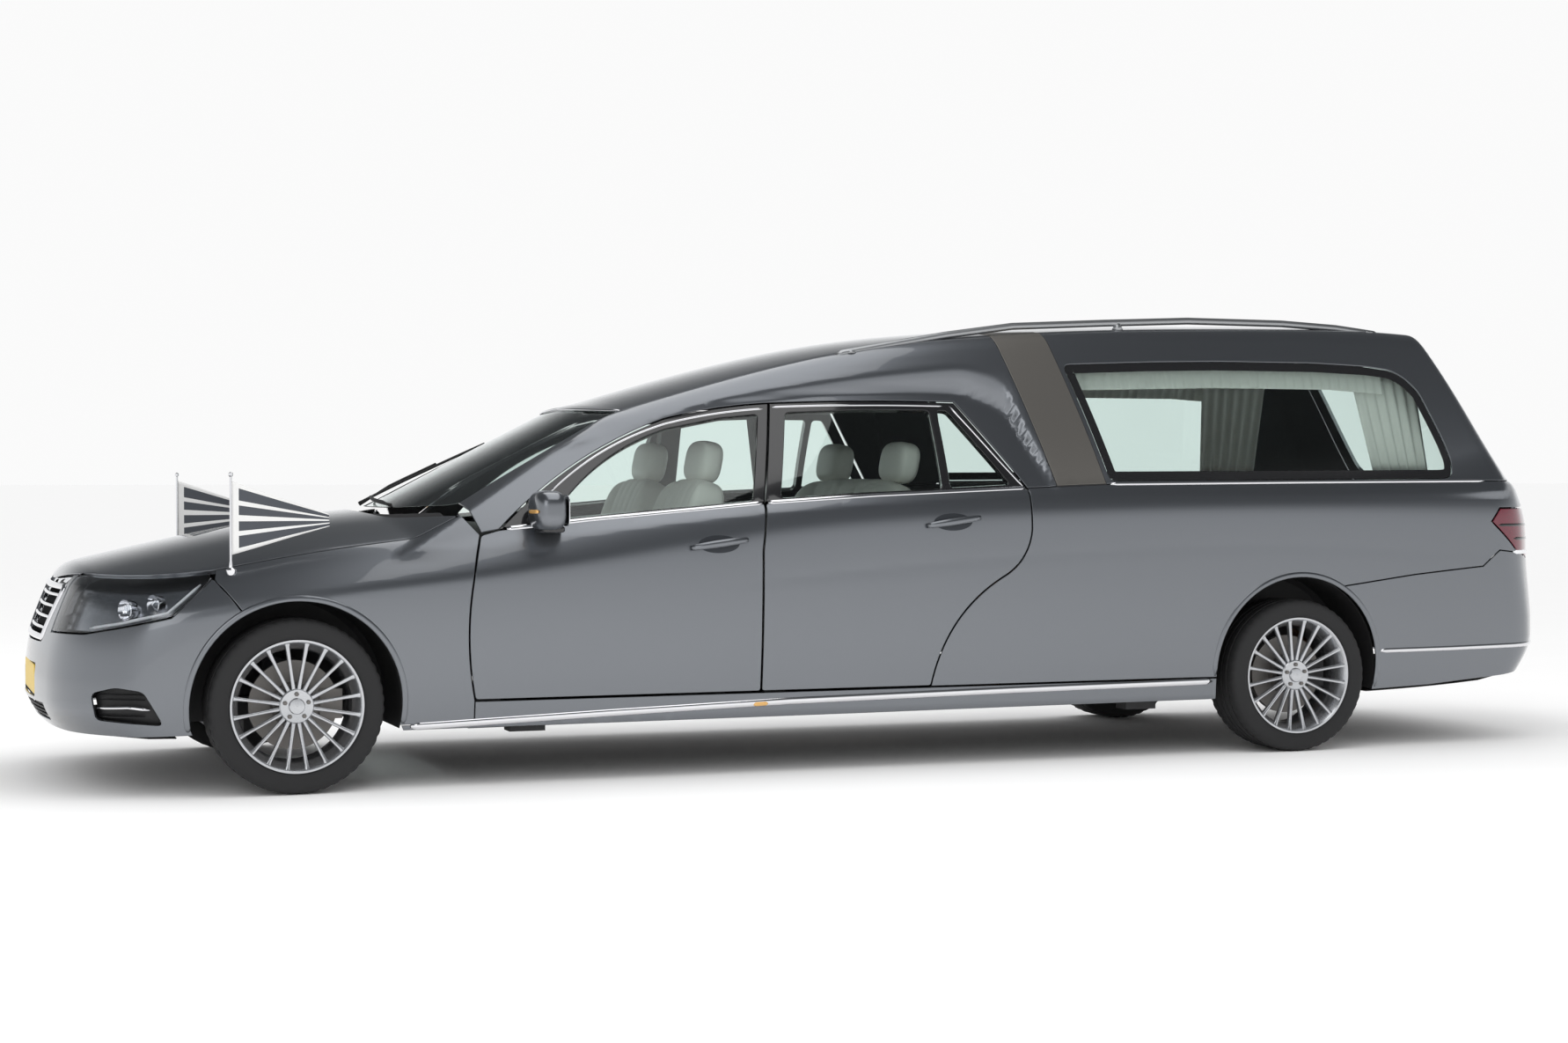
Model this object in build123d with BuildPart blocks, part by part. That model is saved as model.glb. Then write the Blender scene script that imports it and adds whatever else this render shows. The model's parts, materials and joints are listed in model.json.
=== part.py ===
"""Hearse on a stretched saloon chassis: a raised load body behind a four-door cabin.

Millimetres. +X points forward, +Y to the car's left, +Z up. The origin lies on the ground under the
middle of the car. The sheet metal is cut from one lofted shell, tile by tile, where the real panels meet.
"""
import os
from math import asin, cos, sin

from build123d import *

os.makedirs("parts", exist_ok=True)

# Driving sizes of the whole car
FRONT_OVERHANG = 900
WHEELBASE = 4230
REAR_OVERHANG = 1450
HALF_WIDTH = 927
LENGTH = FRONT_OVERHANG + WHEELBASE + REAR_OVERHANG
FRONT_X = LENGTH / 2
REAR_X = -LENGTH / 2
AXLE_F = FRONT_X - FRONT_OVERHANG
AXLE_R = AXLE_F - WHEELBASE
REACH = HALF_WIDTH + 200  # how far a cutting prism runs past the body

# Sheet metal
WALL = 55  # whole thickness of a door, lid or side
FLANGE = 14  # outer skin that laps over the seal around each door and lid
LAP = 40  # width of that lap
GAP = 7  # shut line round a door or lid
GLASS_SET = 6  # glass face below the outer skin
GLASS = 5  # thickness of glass
RUN = 0.3  # running clearance at pins and seats

# Wheels
TYRE_R = 323
TYRE_W = 242
RIM_R = 246
RIM_SEAT_R = 228
TRACK_HALF = 790
AXLE_Z = TYRE_R
ARCH_R = 388
SPINDLE_R = 24
SPOKES = 20


def aft(distance):
    """Longitudinal place at a distance behind the front axle."""
    return AXLE_F - distance


def tail(distance):
    """Longitudinal place at a distance behind the rear axle."""
    return AXLE_R - distance


def save(builder, name):
    builder.part.label = name
    export_step(builder.part, f"parts/{name}.step")


# Lower body: cross-sections from nose to tail, insets counted from HALF_WIDTH
# columns: x, bottom_z, sill_in, crease_in, crease_z, belt_in, belt_z, crown_z
TUB = [
    (aft(-930), 215, 90, 50, 560, 135, 690, 792),
    (aft(-400), 205, 66, 30, 660, 118, 798, 915),
    (aft(0), 205, 58, 14, 722, 106, 868, 992),
    (aft(620), 210, 54, 4, 784, 84, 942, 1056),
    (aft(1830), 215, 52, 0, 910, 44, 1062, 1080),
    (aft(2950), 220, 52, 0, 984, 42, 1124, 1138),
    (tail(0), 225, 54, 4, 1005, 46, 1140, 1152),
    (tail(900), 250, 70, 26, 985, 72, 1148, 1160),
    (tail(1480), 300, 120, 70, 960, 120, 1150, 1162),
]
SIDE_BULGE = 14
SHOULDER_BULGE = 5

# Upper body of the saloon: strong tumblehome, kept as far back as the rear doors
# columns: x, base_in, base_z, edge_in, edge_z, roof_z
CABIN = [
    (aft(200), 60, 860, 330, 1340, 1398),
    (aft(1340), 50, 960, 312, 1412, 1468),
    (aft(1900), 48, 1030, 268, 1490, 1540),
    (aft(3150), 44, 1090, 262, 1500, 1550),
]
CABIN_BULGE = 12

# Raised load body, which starts at the windscreen header and runs to the tailgate; same columns
LOAD = [
    (aft(1230), 62, 960, 322, 1392, 1446),
    (aft(1800), 52, 1020, 300, 1558, 1610),
    (aft(2350), 48, 1060, 286, 1682, 1732),
    (aft(2950), 45, 1090, 276, 1752, 1796),
    (tail(0), 48, 1100, 264, 1800, 1846),
    (tail(620), 60, 1100, 270, 1796, 1842),
    (tail(1480), 112, 1100, 305, 1715, 1762),
]
LOAD_BULGE = 20

# Plan outlines of the lower body at rising heights: how far nose and tail draw in
# columns: z, nose_in, tail_in
TUB_PLAN = [
    (180, 110, 170),
    (300, 8, 80),
    (420, 0, 8),
    (540, 16, 0),
    (680, 62, 14),
    (800, 116, 26),
    (960, 230, 34),
    (1100, 340, 80),
    (1250, 480, 170),
]
NOSE = (470, 45, 960, 560)  # half-width and set-back at the corner's start, then at its end
TAIL = (520, 55, 960, 480)

# Plan outlines of the upper body: windscreen and tailgate
# columns: z, screen distance behind the front axle, tailgate distance behind the rear axle
HOUSE_PLAN = [
    (840, 20, 1430),
    (1045, 425, 1412),
    (1250, 830, 1275),
    (1450, 1225, 1130),
    (1650, 1620, 985),
    (1900, 2115, 790),
]
SCREEN = (450, 72, 960, 380)
HATCH = (480, 60, 960, 440)


def half_arc(end, crown):
    """Middle of the arc that leaves the centre plane square at crown and runs to end, as (across, along)."""
    rise = crown - end[1]
    radius = (end[0] ** 2 + rise ** 2) / (2 * rise)
    turn = asin(end[0] / radius) / 2
    return radius * sin(turn), crown - radius + radius * cos(turn)


def plan_face(z, front_x, front, rear_x, rear, inset):
    """Left half of a plan outline: bowed front, rounded corner, straight side, rounded corner, bowed rear."""
    bow_x = front_x - inset
    stern_x = rear_x + inset
    f1 = (bow_x - front[1], front[0] - inset / 2)
    f2 = (bow_x - front[3], front[2])
    r1 = (stern_x + rear[1], rear[0] - inset / 2)
    r2 = (stern_x + rear[3], rear[2])
    bow_y, bow_mid = half_arc((f1[1], f1[0]), bow_x)
    stern_y, stern_mid = half_arc((r1[1], -r1[0]), -stern_x)
    with BuildSketch(Plane.XY.offset(z)) as face:
        with BuildLine():
            bow = ThreePointArc((bow_x, 0), (bow_mid, bow_y), f1)
            TangentArc(f1, f2, tangent=bow % 1)
            Line(f2, r2)
            stern = ThreePointArc((stern_x, 0), (-stern_mid, stern_y), r1)
            TangentArc(r1, r2, tangent=stern % 1)
            Line((stern_x, 0), (bow_x, 0))
        make_face()
    return face.sketch


def tub(inset):
    """Left half of the lower body, drawn in by inset on every side."""
    with BuildPart() as hull:
        for x, bottom_z, sill_in, crease_in, crease_z, belt_in, belt_z, crown_z in TUB:
            sill = (HALF_WIDTH - sill_in - inset, bottom_z + inset)
            crease = (HALF_WIDTH - crease_in - inset, crease_z)
            belt = (HALF_WIDTH - belt_in - inset, belt_z - inset / 2)
            crown = (0, crown_z - inset)
            with BuildSketch(Plane.YZ.offset(x)):
                with BuildLine():
                    Line((0, sill[1]), sill)
                    SagittaArc(sill, crease, -SIDE_BULGE)
                    SagittaArc(crease, belt, -SHOULDER_BULGE)
                    ThreePointArc(belt, half_arc(belt, crown[1]), crown)
                    Line(crown, (0, sill[1]))
                make_face()
        loft()
    with BuildPart() as plan:
        for z, nose_in, tail_in in TUB_PLAN:
            add(plan_face(z, FRONT_X - nose_in, NOSE, REAR_X + tail_in, TAIL, inset))
        loft()
    with BuildPart() as lower:
        add(hull.part, clean=False)
        add(plan.part, clean=False, mode=Mode.INTERSECT)
    return lower.part


def tube(rows, bulge, inset):
    """Left half of an upper-body tube from its base to the crowned roof."""
    with BuildPart() as upper:
        for x, base_in, base_z, edge_in, edge_z, roof_z in rows:
            base = (HALF_WIDTH - base_in - inset, base_z - inset)
            edge = (HALF_WIDTH - edge_in - inset * 0.9, edge_z - inset * 0.6)
            crown = (0, roof_z - inset)
            with BuildSketch(Plane.YZ.offset(x)):
                with BuildLine():
                    Line((0, base[1]), base)
                    SagittaArc(base, edge, -bulge)
                    ThreePointArc(edge, half_arc(edge, crown[1]), crown)
                    Line(crown, (0, base[1]))
                make_face()
        loft()
    return upper.part


# Step between the cabin side and the wider load body, along two lines over the doors and down to the belt
# columns: distance behind the front axle, height of the line on the cabin, its height on the load body
STEP = [
    (1080, 1262, 1372),
    (1315, 1340, 1413),
    (1528, 1408, 1484),
    (1823, 1460, 1535),
    (2207, 1475, 1598),
    (2502, 1479, 1631),
    (2740, 1479, 1643),
    (2885, 1268, 1600),
    (2975, 1113, 1362),
    (3090, 930, 1113),
    (3130, 900, 1000),
]
STEP_IN_Y = 640
STEP_OUT_Y = 735


def side_face(points, y):
    """Side-view polygon on the plane at y, from distances behind the front axle and heights."""
    with BuildSketch(Plane.XZ.offset(-y)) as face:
        with BuildLine():
            Polyline(*[(aft(s), z) for s, z in points], close=True)
        make_face()
    return face.sketch


def side_prism(points, y_from=0, y_to=REACH):
    """Side-view polygon run outward from y_from to y_to."""
    with BuildPart() as tool:
        add(side_face(points, y_from))
        extrude(amount=y_to - y_from, dir=(0, 1, 0))
    return tool.part


def front_prism(points, x_from, x_to):
    """Front-view polygon of (y, z) run forward from x_from to x_to."""
    with BuildPart() as tool:
        with BuildSketch(Plane.YZ.offset(x_from)):
            with BuildLine():
                Polyline(*points, close=True)
            make_face()
        extrude(amount=x_to - x_from)
    return tool.part


def block(x0, x1, y0, y1, z0, z1):
    """Plain box between two corners."""
    with BuildPart() as box:
        with Locations(((x0 + x1) / 2, (y0 + y1) / 2, (z0 + z1) / 2)):
            Box(abs(x1 - x0), abs(y1 - y0), abs(z1 - z0))
    return box.part


def rod(centre, radius, length, axis):
    """Cylinder centred on a point, along X, Y or Z."""
    turn = {"X": (0, 90, 0), "Y": (90, 0, 0), "Z": (0, 0, 0)}[axis]
    with BuildPart() as cylinder:
        with Locations(Location(centre, turn)):
            Cylinder(radius, length)
    return cylinder.part


def step_tool(inset):
    """Solid taken off the load body beside the doors, leaving the slanted band over them."""
    y_in = STEP_IN_Y - inset
    y_out = STEP_OUT_Y - inset
    with BuildPart() as band:
        for s, cabin_z, load_z in STEP:
            rise = inset if cabin_z > 1200 else 0
            with BuildSketch(Plane.YZ.offset(aft(s + inset / 2))):
                with BuildLine():
                    Polyline((y_in, 860), (y_in, cabin_z + rise), (y_out, load_z + rise),
                             (REACH, load_z + rise), (REACH, 860), close=True)
                make_face()
        loft(ruled=True)
    return band.part


def house(inset):
    """Upper body: cabin and load tubes between the windscreen and the tailgate, left half."""
    with BuildPart() as plan:
        for z, screen, hatch in HOUSE_PLAN:
            add(plan_face(z, aft(screen), SCREEN, tail(hatch), HATCH, inset))
        loft()
    with BuildPart() as upper:
        add(tube(LOAD, LOAD_BULGE, inset), clean=False)
        add(step_tool(inset), clean=False, mode=Mode.SUBTRACT)
        add(tube(CABIN, CABIN_BULGE, inset), clean=False)
        add(plan.part, clean=False, mode=Mode.INTERSECT)
    return upper.part


def body(inset):
    """Left half of the whole body, drawn in by inset."""
    with BuildPart() as whole:
        add(tub(inset), clean=False)
        add(house(inset), clean=False)
    return whole.part


def cut(base, *tools):
    with BuildPart() as result:
        add(base, clean=False)
        for tool in tools:
            add(tool, clean=False, mode=Mode.SUBTRACT)
    return result.part


def common(base, tool):
    with BuildPart() as result:
        add(base, clean=False)
        add(tool, clean=False, mode=Mode.INTERSECT)
    return result.part


OUTER = body(0)
SKIN = body(FLANGE)
INNER = body(WALL)
GLASS_OUT = house(GLASS_SET)
GLASS_IN = house(GLASS_SET + GLASS)


def largest(part):
    """Main solid of a cut, without the crumbs at its corners."""
    return part.solids().sort_by(SortBy.VOLUME)[-1]


def panel(tile, *tools):
    """Body panel on one tile of the shell."""
    return largest(cut(common(OUTER, tile), INNER, *tools))


def lid(flange_tile, core_tile):
    """Door or lid: a skin that laps its opening and a narrower core behind it."""
    with BuildPart() as solid:
        add(cut(common(OUTER, flange_tile), SKIN), clean=False)
        add(cut(common(SKIN, core_tile), INNER), clean=False)
    return solid.part


def pane(tile):
    """Glass set into a window opening."""
    return cut(common(GLASS_OUT, tile), GLASS_IN)


# Wheel openings
FRONT_WELL_Y = 470
REAR_WELL_Y = 600
LOCK_ROOM = 40  # extra room inside the front wings for the wheels at full lock
FRONT_WELL = rod((AXLE_F, (FRONT_WELL_Y + REACH) / 2, AXLE_Z), ARCH_R, REACH - FRONT_WELL_Y, "Y")
LOCK_WELL = rod((AXLE_F, (FRONT_WELL_Y + 800) / 2, AXLE_Z), ARCH_R + LOCK_ROOM, 800 - FRONT_WELL_Y, "Y")
REAR_WELL = rod((AXLE_R, (REAR_WELL_Y + REACH) / 2, AXLE_Z + 30), ARCH_R, REACH - REAR_WELL_Y, "Y")

# Side openings: door outlines, read off the photograph
SILL_TOP = 325
SILL_START = 664


def front_door_face(grow):
    with BuildSketch(Plane.XZ) as face:
        with BuildLine():
            nose = ThreePointArc((aft(SILL_START), SILL_TOP), (aft(638), 640), (aft(695), 947))
            Line(nose @ 1, (aft(770), 967))
            screen_edge = ThreePointArc((aft(770), 967), (aft(1140), 1241), (aft(1483), 1397))
            ThreePointArc(screen_edge @ 1, (aft(1700), 1440), (aft(1915), 1462))
            Polyline((aft(1915), 1462), (aft(1832), 1065), (aft(1805), 880), (aft(1807), SILL_TOP))
            Line((aft(1807), SILL_TOP), nose @ 0)
        make_face()
        if grow:
            offset(amount=grow, kind=Kind.INTERSECTION)
    return face.sketch


def rear_door_face(grow):
    with BuildSketch(Plane.XZ) as face:
        with BuildLine():
            Polyline((aft(1807), SILL_TOP), (aft(1805), 880), (aft(1832), 1065), (aft(1915), 1462))
            top = ThreePointArc((aft(1915), 1462), (aft(2310), 1474), (aft(2715), 1473))
            Polyline(top @ 1, (aft(2968), 1122), (aft(2966), 950))
            ThreePointArc((aft(2966), 950), (aft(2930), 845), (aft(2850), 768))
            ThreePointArc((aft(2850), 768), (aft(2650), 600), (aft(2533), SILL_TOP))
            Line((aft(2533), SILL_TOP), (aft(1807), SILL_TOP))
        make_face()
        if grow:
            offset(amount=grow, kind=Kind.INTERSECTION)
    return face.sketch


def opening(face):
    """Prism through the left side of the body from a side-view face."""
    with BuildPart() as tool:
        add(face)
        extrude(amount=REACH, dir=(0, 1, 0))
        add(block(FRONT_X, REAR_X, -1, 500, 0, 2200), mode=Mode.SUBTRACT)
    return tool.part


# Windows in side view
# columns: distance behind the front axle, height
FRONT_LIGHT = [
    (985, 1008), (1130, 1175), (1300, 1285), (1483, 1352), (1700, 1396), (1856, 1412), (1782, 1076),
]
REAR_LIGHT = [(1905, 1086), (1978, 1420), (2300, 1434), (2590, 1434), (2590, 1122)]
QUARTER_LIGHT = [(2632, 1126), (2632, 1434), (2672, 1432), (2888, 1138)]
LOAD_LIGHT = [
    (3205, 1632), (3600, 1648), (3930, 1656), (4400, 1656), (4668, 1646), (4790, 1632), (4857, 1600),
    (4920, 1540), (5012, 1320), (5040, 1230), (5030, 1172), (4990, 1160), (3348, 1150),
]

# Door hinges: one upright axis per door, two pins on it
FRONT_HINGE = (aft(740), 898)
REAR_HINGE = (aft(1900), 900)
FRONT_PINS = (530, 740)
REAR_PINS = (550, 850)
PIN_R = 5
PIN_POST_Y = 775
KNUCKLE_R = 8
KNUCKLE_H = 56


def pocket(hinge, z):
    """Room for one hinge arm in a door's leading edge."""
    half = KNUCKLE_H / 2 + 6
    return block(hinge[0] - 20, hinge[0] + 130, 600, hinge[1] + 9, z - half, z + half)


def door(face, hinge, pins, lights):
    solid = lid(opening(face(-GAP)), opening(face(-GAP - LAP)))
    tools = [side_prism(light, 400) for light in lights]
    for z in pins:
        tools.append(pocket(hinge, z))
        tools.append(rod((hinge[0], hinge[1], z), PIN_R + RUN, KNUCKLE_H + 48, "Z"))
    return cut(solid, *tools)


def hinge_arms(hinge, pins):
    """Pins and the arms that hold them out from the post."""
    with BuildPart() as arms:
        for z in pins:
            half = KNUCKLE_H / 2
            add(rod((hinge[0], hinge[1], z), PIN_R, KNUCKLE_H + 44, "Z"))
            add(rod((hinge[0], hinge[1], z), KNUCKLE_R, KNUCKLE_H, "Z"))
            add(block(hinge[0] - 8, hinge[0] + 8, PIN_POST_Y, hinge[1], z - half, z + half))
    return arms.part


FRONT_OPENING = opening(front_door_face(0))
REAR_OPENING = opening(rear_door_face(0))

with BuildPart() as door_front_left:
    add(door(front_door_face, FRONT_HINGE, FRONT_PINS, [FRONT_LIGHT]))
with BuildPart() as door_rear_left:
    add(door(rear_door_face, REAR_HINGE, REAR_PINS, [REAR_LIGHT, QUARTER_LIGHT]))
with BuildPart() as glass_front_left:
    add(pane(side_prism(FRONT_LIGHT, 400)))
with BuildPart() as glass_rear_left:
    add(pane(side_prism(REAR_LIGHT, 400)))
    add(pane(side_prism(QUARTER_LIGHT, 400)))
with BuildPart() as door_hinges:
    add(hinge_arms(FRONT_HINGE, FRONT_PINS))
    add(hinge_arms(REAR_HINGE, REAR_PINS))
    mirror(about=Plane.XZ)

# Hood, cut in plan
HOOD_HINGE = (aft(660), 945)
HOOD_LUG_Y = 600
HOOD_LUG_W = 24
LID_PIN_R = 6
# columns: distance behind the front axle, height; the gooseneck dips under the edge of the cowl
HOOD_ARM = [
    (648, 957), (672, 957), (672, 773), (385, 773), (385, 945), (435, 945), (435, 797), (648, 797),
]


def hood_face(grow):
    with BuildSketch(Plane.XY.offset(600)) as face:
        with BuildLine():
            ThreePointArc((aft(-735), -400), (aft(-800), 0), (aft(-735), 400))
            ThreePointArc((aft(-735), 400), (aft(-560), 650), (aft(-300), 785))
            Line((aft(-300), 785), (aft(630), 800))
            ThreePointArc((aft(630), 800), (aft(345), 0), (aft(630), -800))
            Line((aft(630), -800), (aft(-300), -785))
            ThreePointArc((aft(-300), -785), (aft(-560), -650), (aft(-735), -400))
        make_face()
        if grow:
            offset(amount=grow, kind=Kind.INTERSECTION)
    return face.sketch


# columns: distance behind the front axle, height
HOOD_FLOOR = [(-1000, 500), (-1000, 735), (-500, 735), (-300, 725), (660, 875), (660, 500)]
HOOD_BELOW = side_prism(HOOD_FLOOR, -REACH)


def hood_tool(grow):
    with BuildPart() as tool:
        add(hood_face(grow))
        extrude(amount=600)
        add(HOOD_BELOW, mode=Mode.SUBTRACT)
        add(block(FRONT_X + 100, REAR_X, 0, REACH, 0, 2200), mode=Mode.INTERSECT)
    return tool.part


HOOD_OPENING = hood_tool(0)
with BuildPart() as hood:
    add(lid(hood_tool(-GAP), hood_tool(-GAP - LAP)), clean=False)
    add(side_prism(HOOD_ARM, HOOD_LUG_Y - HOOD_LUG_W / 2, HOOD_LUG_Y + HOOD_LUG_W / 2), clean=False)
    add(rod((HOOD_HINGE[0], HOOD_LUG_Y, HOOD_HINGE[1]), LID_PIN_R + RUN, 80, "Y"), mode=Mode.SUBTRACT)
    mirror(about=Plane.XZ)

# Tailgate, cut in the rear view
# columns: half-width, height
HATCH_EDGE = [(0, 800), (550, 800), (600, 850), (592, 1150), (508, 1735), (485, 1760), (0, 1760)]
HATCH_LIGHT = [(0, 1190), (520, 1190), (448, 1690), (0, 1690)]
# columns: distance behind the front axle, height
HATCH_DEPTH = [(5020, 1800), (5375, 1250), (5512, 1050), (5512, 700), (6000, 700), (6000, 1800)]
HATCH_HINGE = (tail(835), 1765)
HATCH_LUG_Y = 400
HATCH_LUG_W = 24
HATCH_EYE = 11  # lug past its pin's centre
HATCH_TOP = 1739  # upper edge of the lid, low enough to swing clear of the roof


def hatch_tool(grow):
    with BuildPart() as tool:
        with BuildSketch(Plane.YZ.offset(tail(700))):
            with BuildLine():
                outline = HATCH_EDGE + [(-y, z) for y, z in HATCH_EDGE[-2:0:-1]]
                Polyline(*outline, close=True)
            make_face()
            if grow:
                offset(amount=grow, kind=Kind.INTERSECTION)
        extrude(amount=-900)
        add(side_prism(HATCH_DEPTH), mode=Mode.INTERSECT)
    return tool.part


HATCH_OPENING = hatch_tool(0)
HATCH_PANE = front_prism(HATCH_LIGHT, tail(1600), tail(700))
HATCH_LUG = block(HATCH_HINGE[0] - 70, HATCH_HINGE[0] + HATCH_EYE, HATCH_LUG_Y - HATCH_LUG_W / 2,
                  HATCH_LUG_Y + HATCH_LUG_W / 2, 1690, HATCH_HINGE[1] + HATCH_EYE)
HATCH_SWING = block(tail(700), tail(1000), -REACH, REACH, HATCH_TOP, HATCH_TOP + 60)
with BuildPart() as tailgate:
    add(cut(lid(hatch_tool(-GAP), hatch_tool(-GAP - LAP)), HATCH_PANE, HATCH_SWING), clean=False)
    add(common(HATCH_LUG, SKIN), clean=False)
    add(rod((HATCH_HINGE[0], HATCH_LUG_Y, HATCH_HINGE[1]), LID_PIN_R + RUN, 60, "Y"), mode=Mode.SUBTRACT)
    mirror(about=Plane.XZ)
with BuildPart() as tailgate_glass:
    add(common(pane(HATCH_PANE), side_prism(HATCH_DEPTH)), clean=False)
    mirror(about=Plane.XZ)

BELT_FRONT = (2900, 1121)
BELT_REAR = (3340, 1136)
FLOOR_END = 4560


def belt_line(s):
    """Height of the seam under the blade at a distance behind the front axle."""
    share = (s - BELT_FRONT[0]) / (BELT_REAR[0] - BELT_FRONT[0])
    return BELT_FRONT[1] + (BELT_REAR[1] - BELT_FRONT[1]) * share


# Fixed panels of the left side, in side view
# columns: distance behind the front axle, height
FENDER = [
    (-290, 800), (-190, 660), (0, 322), (400, 240), (SILL_START, 240), (SILL_START, SILL_TOP),
    (720, SILL_TOP), (720, 1000), (-290, 880),
]
SILL = [
    (390, 180), (390, 240), (SILL_START, 240), (SILL_START, SILL_TOP), (3870, SILL_TOP), (3870, 180),
]
QUARTER = [
    (2450, SILL_TOP), (2450, 900), BELT_FRONT, BELT_REAR, (5206, 1150), (5900, 1152), (5900, 1033),
    (5256, 1031), (5206, 971), (5359, 834), (5250, 845), (5160, 776), (4422, 717), (4230, 400),
    (3870, SILL_TOP),
]
TAIL_LAMP = [(5206, 971), (5256, 1031), (5900, 1033), (5900, 800), (5495, 800), (5359, 834)]
REAR_BUMPER = [
    (4422, 717), (5160, 776), (5250, 845), (5359, 834), (5495, 800), (5900, 800), (5900, 150),
    (FLOOR_END, 150), (FLOOR_END, 400), (4230, 400),
]
FRONT_BUMPER = [
    (-1000, 150), (-330, 150), (-330, 322), (0, 322), (-190, 660), (-290, 800), (-290, 850), (-1000, 850),
]
HEADLAMP = [(-900, 588), (-739, 592), (-637, 616), (-450, 657), (-298, 800), (-290, 850), (-900, 850)]
BLADE = [
    (2888, 1850), (3124, 1850), (3143, 1768), (3330, belt_line(3330)), (3096, belt_line(3096)), (2909, 1750),
]
ROOF = [
    (250, 1062), (760, 1062), (760, 900), (2900, 900), BELT_FRONT, BELT_REAR, (5206, 1150), (5900, 1152),
    (5900, 2100), (250, 2100),
]
COWL = [(250, 880), (250, 1062), (760, 1062), (760, 880)]
# columns: half-width, height
SCREEN_EDGE = [
    (0, 1040), (350, 1044), (640, 1056), (690, 1066), (660, 1140), (572, 1418), (540, 1432), (0, 1446),
]
GRILLE_EDGE = [(0, 545), (300, 548), (318, 560), (378, 752), (368, 772), (0, 786)]

SCREEN_SIDE = [(-200, 900), (1700, 900), (1700, 1700), (1180, 1700)]
SCREEN_TOOL = common(front_prism(SCREEN_EDGE, aft(1700), aft(-200)), side_prism(SCREEN_SIDE))
LAMP_TOOL = side_prism(HEADLAMP, 420)
GRILLE_TOOL = front_prism(GRILLE_EDGE, FRONT_X - 260, FRONT_X + 100)
TAIL_LAMP_TOOL = side_prism(TAIL_LAMP, 480)
BLADE_TOOL = side_prism(BLADE, 560)
LOAD_TOOL = side_prism(LOAD_LIGHT, 400)

with BuildPart() as fender_left:
    add(panel(side_prism(FENDER, 700), FRONT_WELL, HOOD_OPENING, FRONT_OPENING,
              block(aft(620), aft(800), 600, 795, 880, 1100)), clean=False)
with BuildPart() as sill_left:
    add(panel(side_prism(SILL, 780), FRONT_WELL, REAR_WELL), clean=False)
with BuildPart() as quarter_left:
    add(panel(side_prism(QUARTER, 480), REAR_WELL, REAR_OPENING, HATCH_OPENING), clean=False)
with BuildPart() as tail_lamp_left:
    add(panel(TAIL_LAMP_TOOL, HATCH_OPENING), clean=False)
with BuildPart() as headlamp_left:
    add(panel(LAMP_TOOL, HOOD_OPENING, GRILLE_TOOL), clean=False)
with BuildPart() as blade_left:
    add(panel(BLADE_TOOL), clean=False)
with BuildPart() as load_glass_left:
    add(pane(LOAD_TOOL))
with BuildPart() as rear_bumper:
    add(panel(side_prism(REAR_BUMPER), REAR_WELL, HATCH_OPENING), clean=False)
    mirror(about=Plane.XZ)
with BuildPart() as front_bumper:
    add(panel(side_prism(FRONT_BUMPER), FRONT_WELL, LOCK_WELL, HOOD_OPENING, LAMP_TOOL, GRILLE_TOOL),
        clean=False)
    mirror(about=Plane.XZ)
with BuildPart() as grille:
    add(panel(GRILLE_TOOL, HOOD_OPENING), clean=False)
    mirror(about=Plane.XZ)
COWL_Y = 700
HATCH_POCKET = block(HATCH_HINGE[0] - 110, HATCH_HINGE[0] + HATCH_EYE + 6, HATCH_LUG_Y - HATCH_LUG_W / 2 - 6,
                     HATCH_LUG_Y + HATCH_LUG_W / 2 + 6, 1640, HATCH_HINGE[1] + HATCH_EYE + 6)
# Room beside the windscreen for the rear corners of the hood as it lifts
HOOD_SWEEP_R = 122
HOOD_SWEEP = common(rod((HOOD_HINGE[0], 760, HOOD_HINGE[1]), HOOD_SWEEP_R, 140, "Y"),
                    block(aft(800), aft(500), 690, 830, 1000, 1080))
with BuildPart() as roof:
    add(panel(side_prism(ROOF), FRONT_OPENING, REAR_OPENING, SCREEN_TOOL, LOAD_TOOL, HATCH_OPENING,
              BLADE_TOOL, HATCH_POCKET), clean=False)
    add(rod((HATCH_HINGE[0], HATCH_LUG_Y, HATCH_HINGE[1]), LID_PIN_R, 44, "Y"), clean=False)
    add(panel(side_prism(COWL, COWL_Y), FRONT_OPENING, HOOD_OPENING, SCREEN_TOOL, side_prism(FENDER, 795),
              HOOD_SWEEP), clean=False)
    mirror(about=Plane.XZ)
COWL_POCKET = block(aft(635), aft(705), HOOD_LUG_Y - 50, HOOD_LUG_Y + 50, 880, HOOD_HINGE[1] + 17)
with BuildPart() as cowl:
    layer = common(SKIN, side_prism(COWL, 0, COWL_Y))
    add(largest(cut(layer, INNER, SCREEN_TOOL, HOOD_OPENING, COWL_POCKET)), clean=False)
    mirror(about=Plane.XZ)
with BuildPart() as windscreen:
    add(pane(SCREEN_TOOL))
    mirror(about=Plane.XZ)


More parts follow.
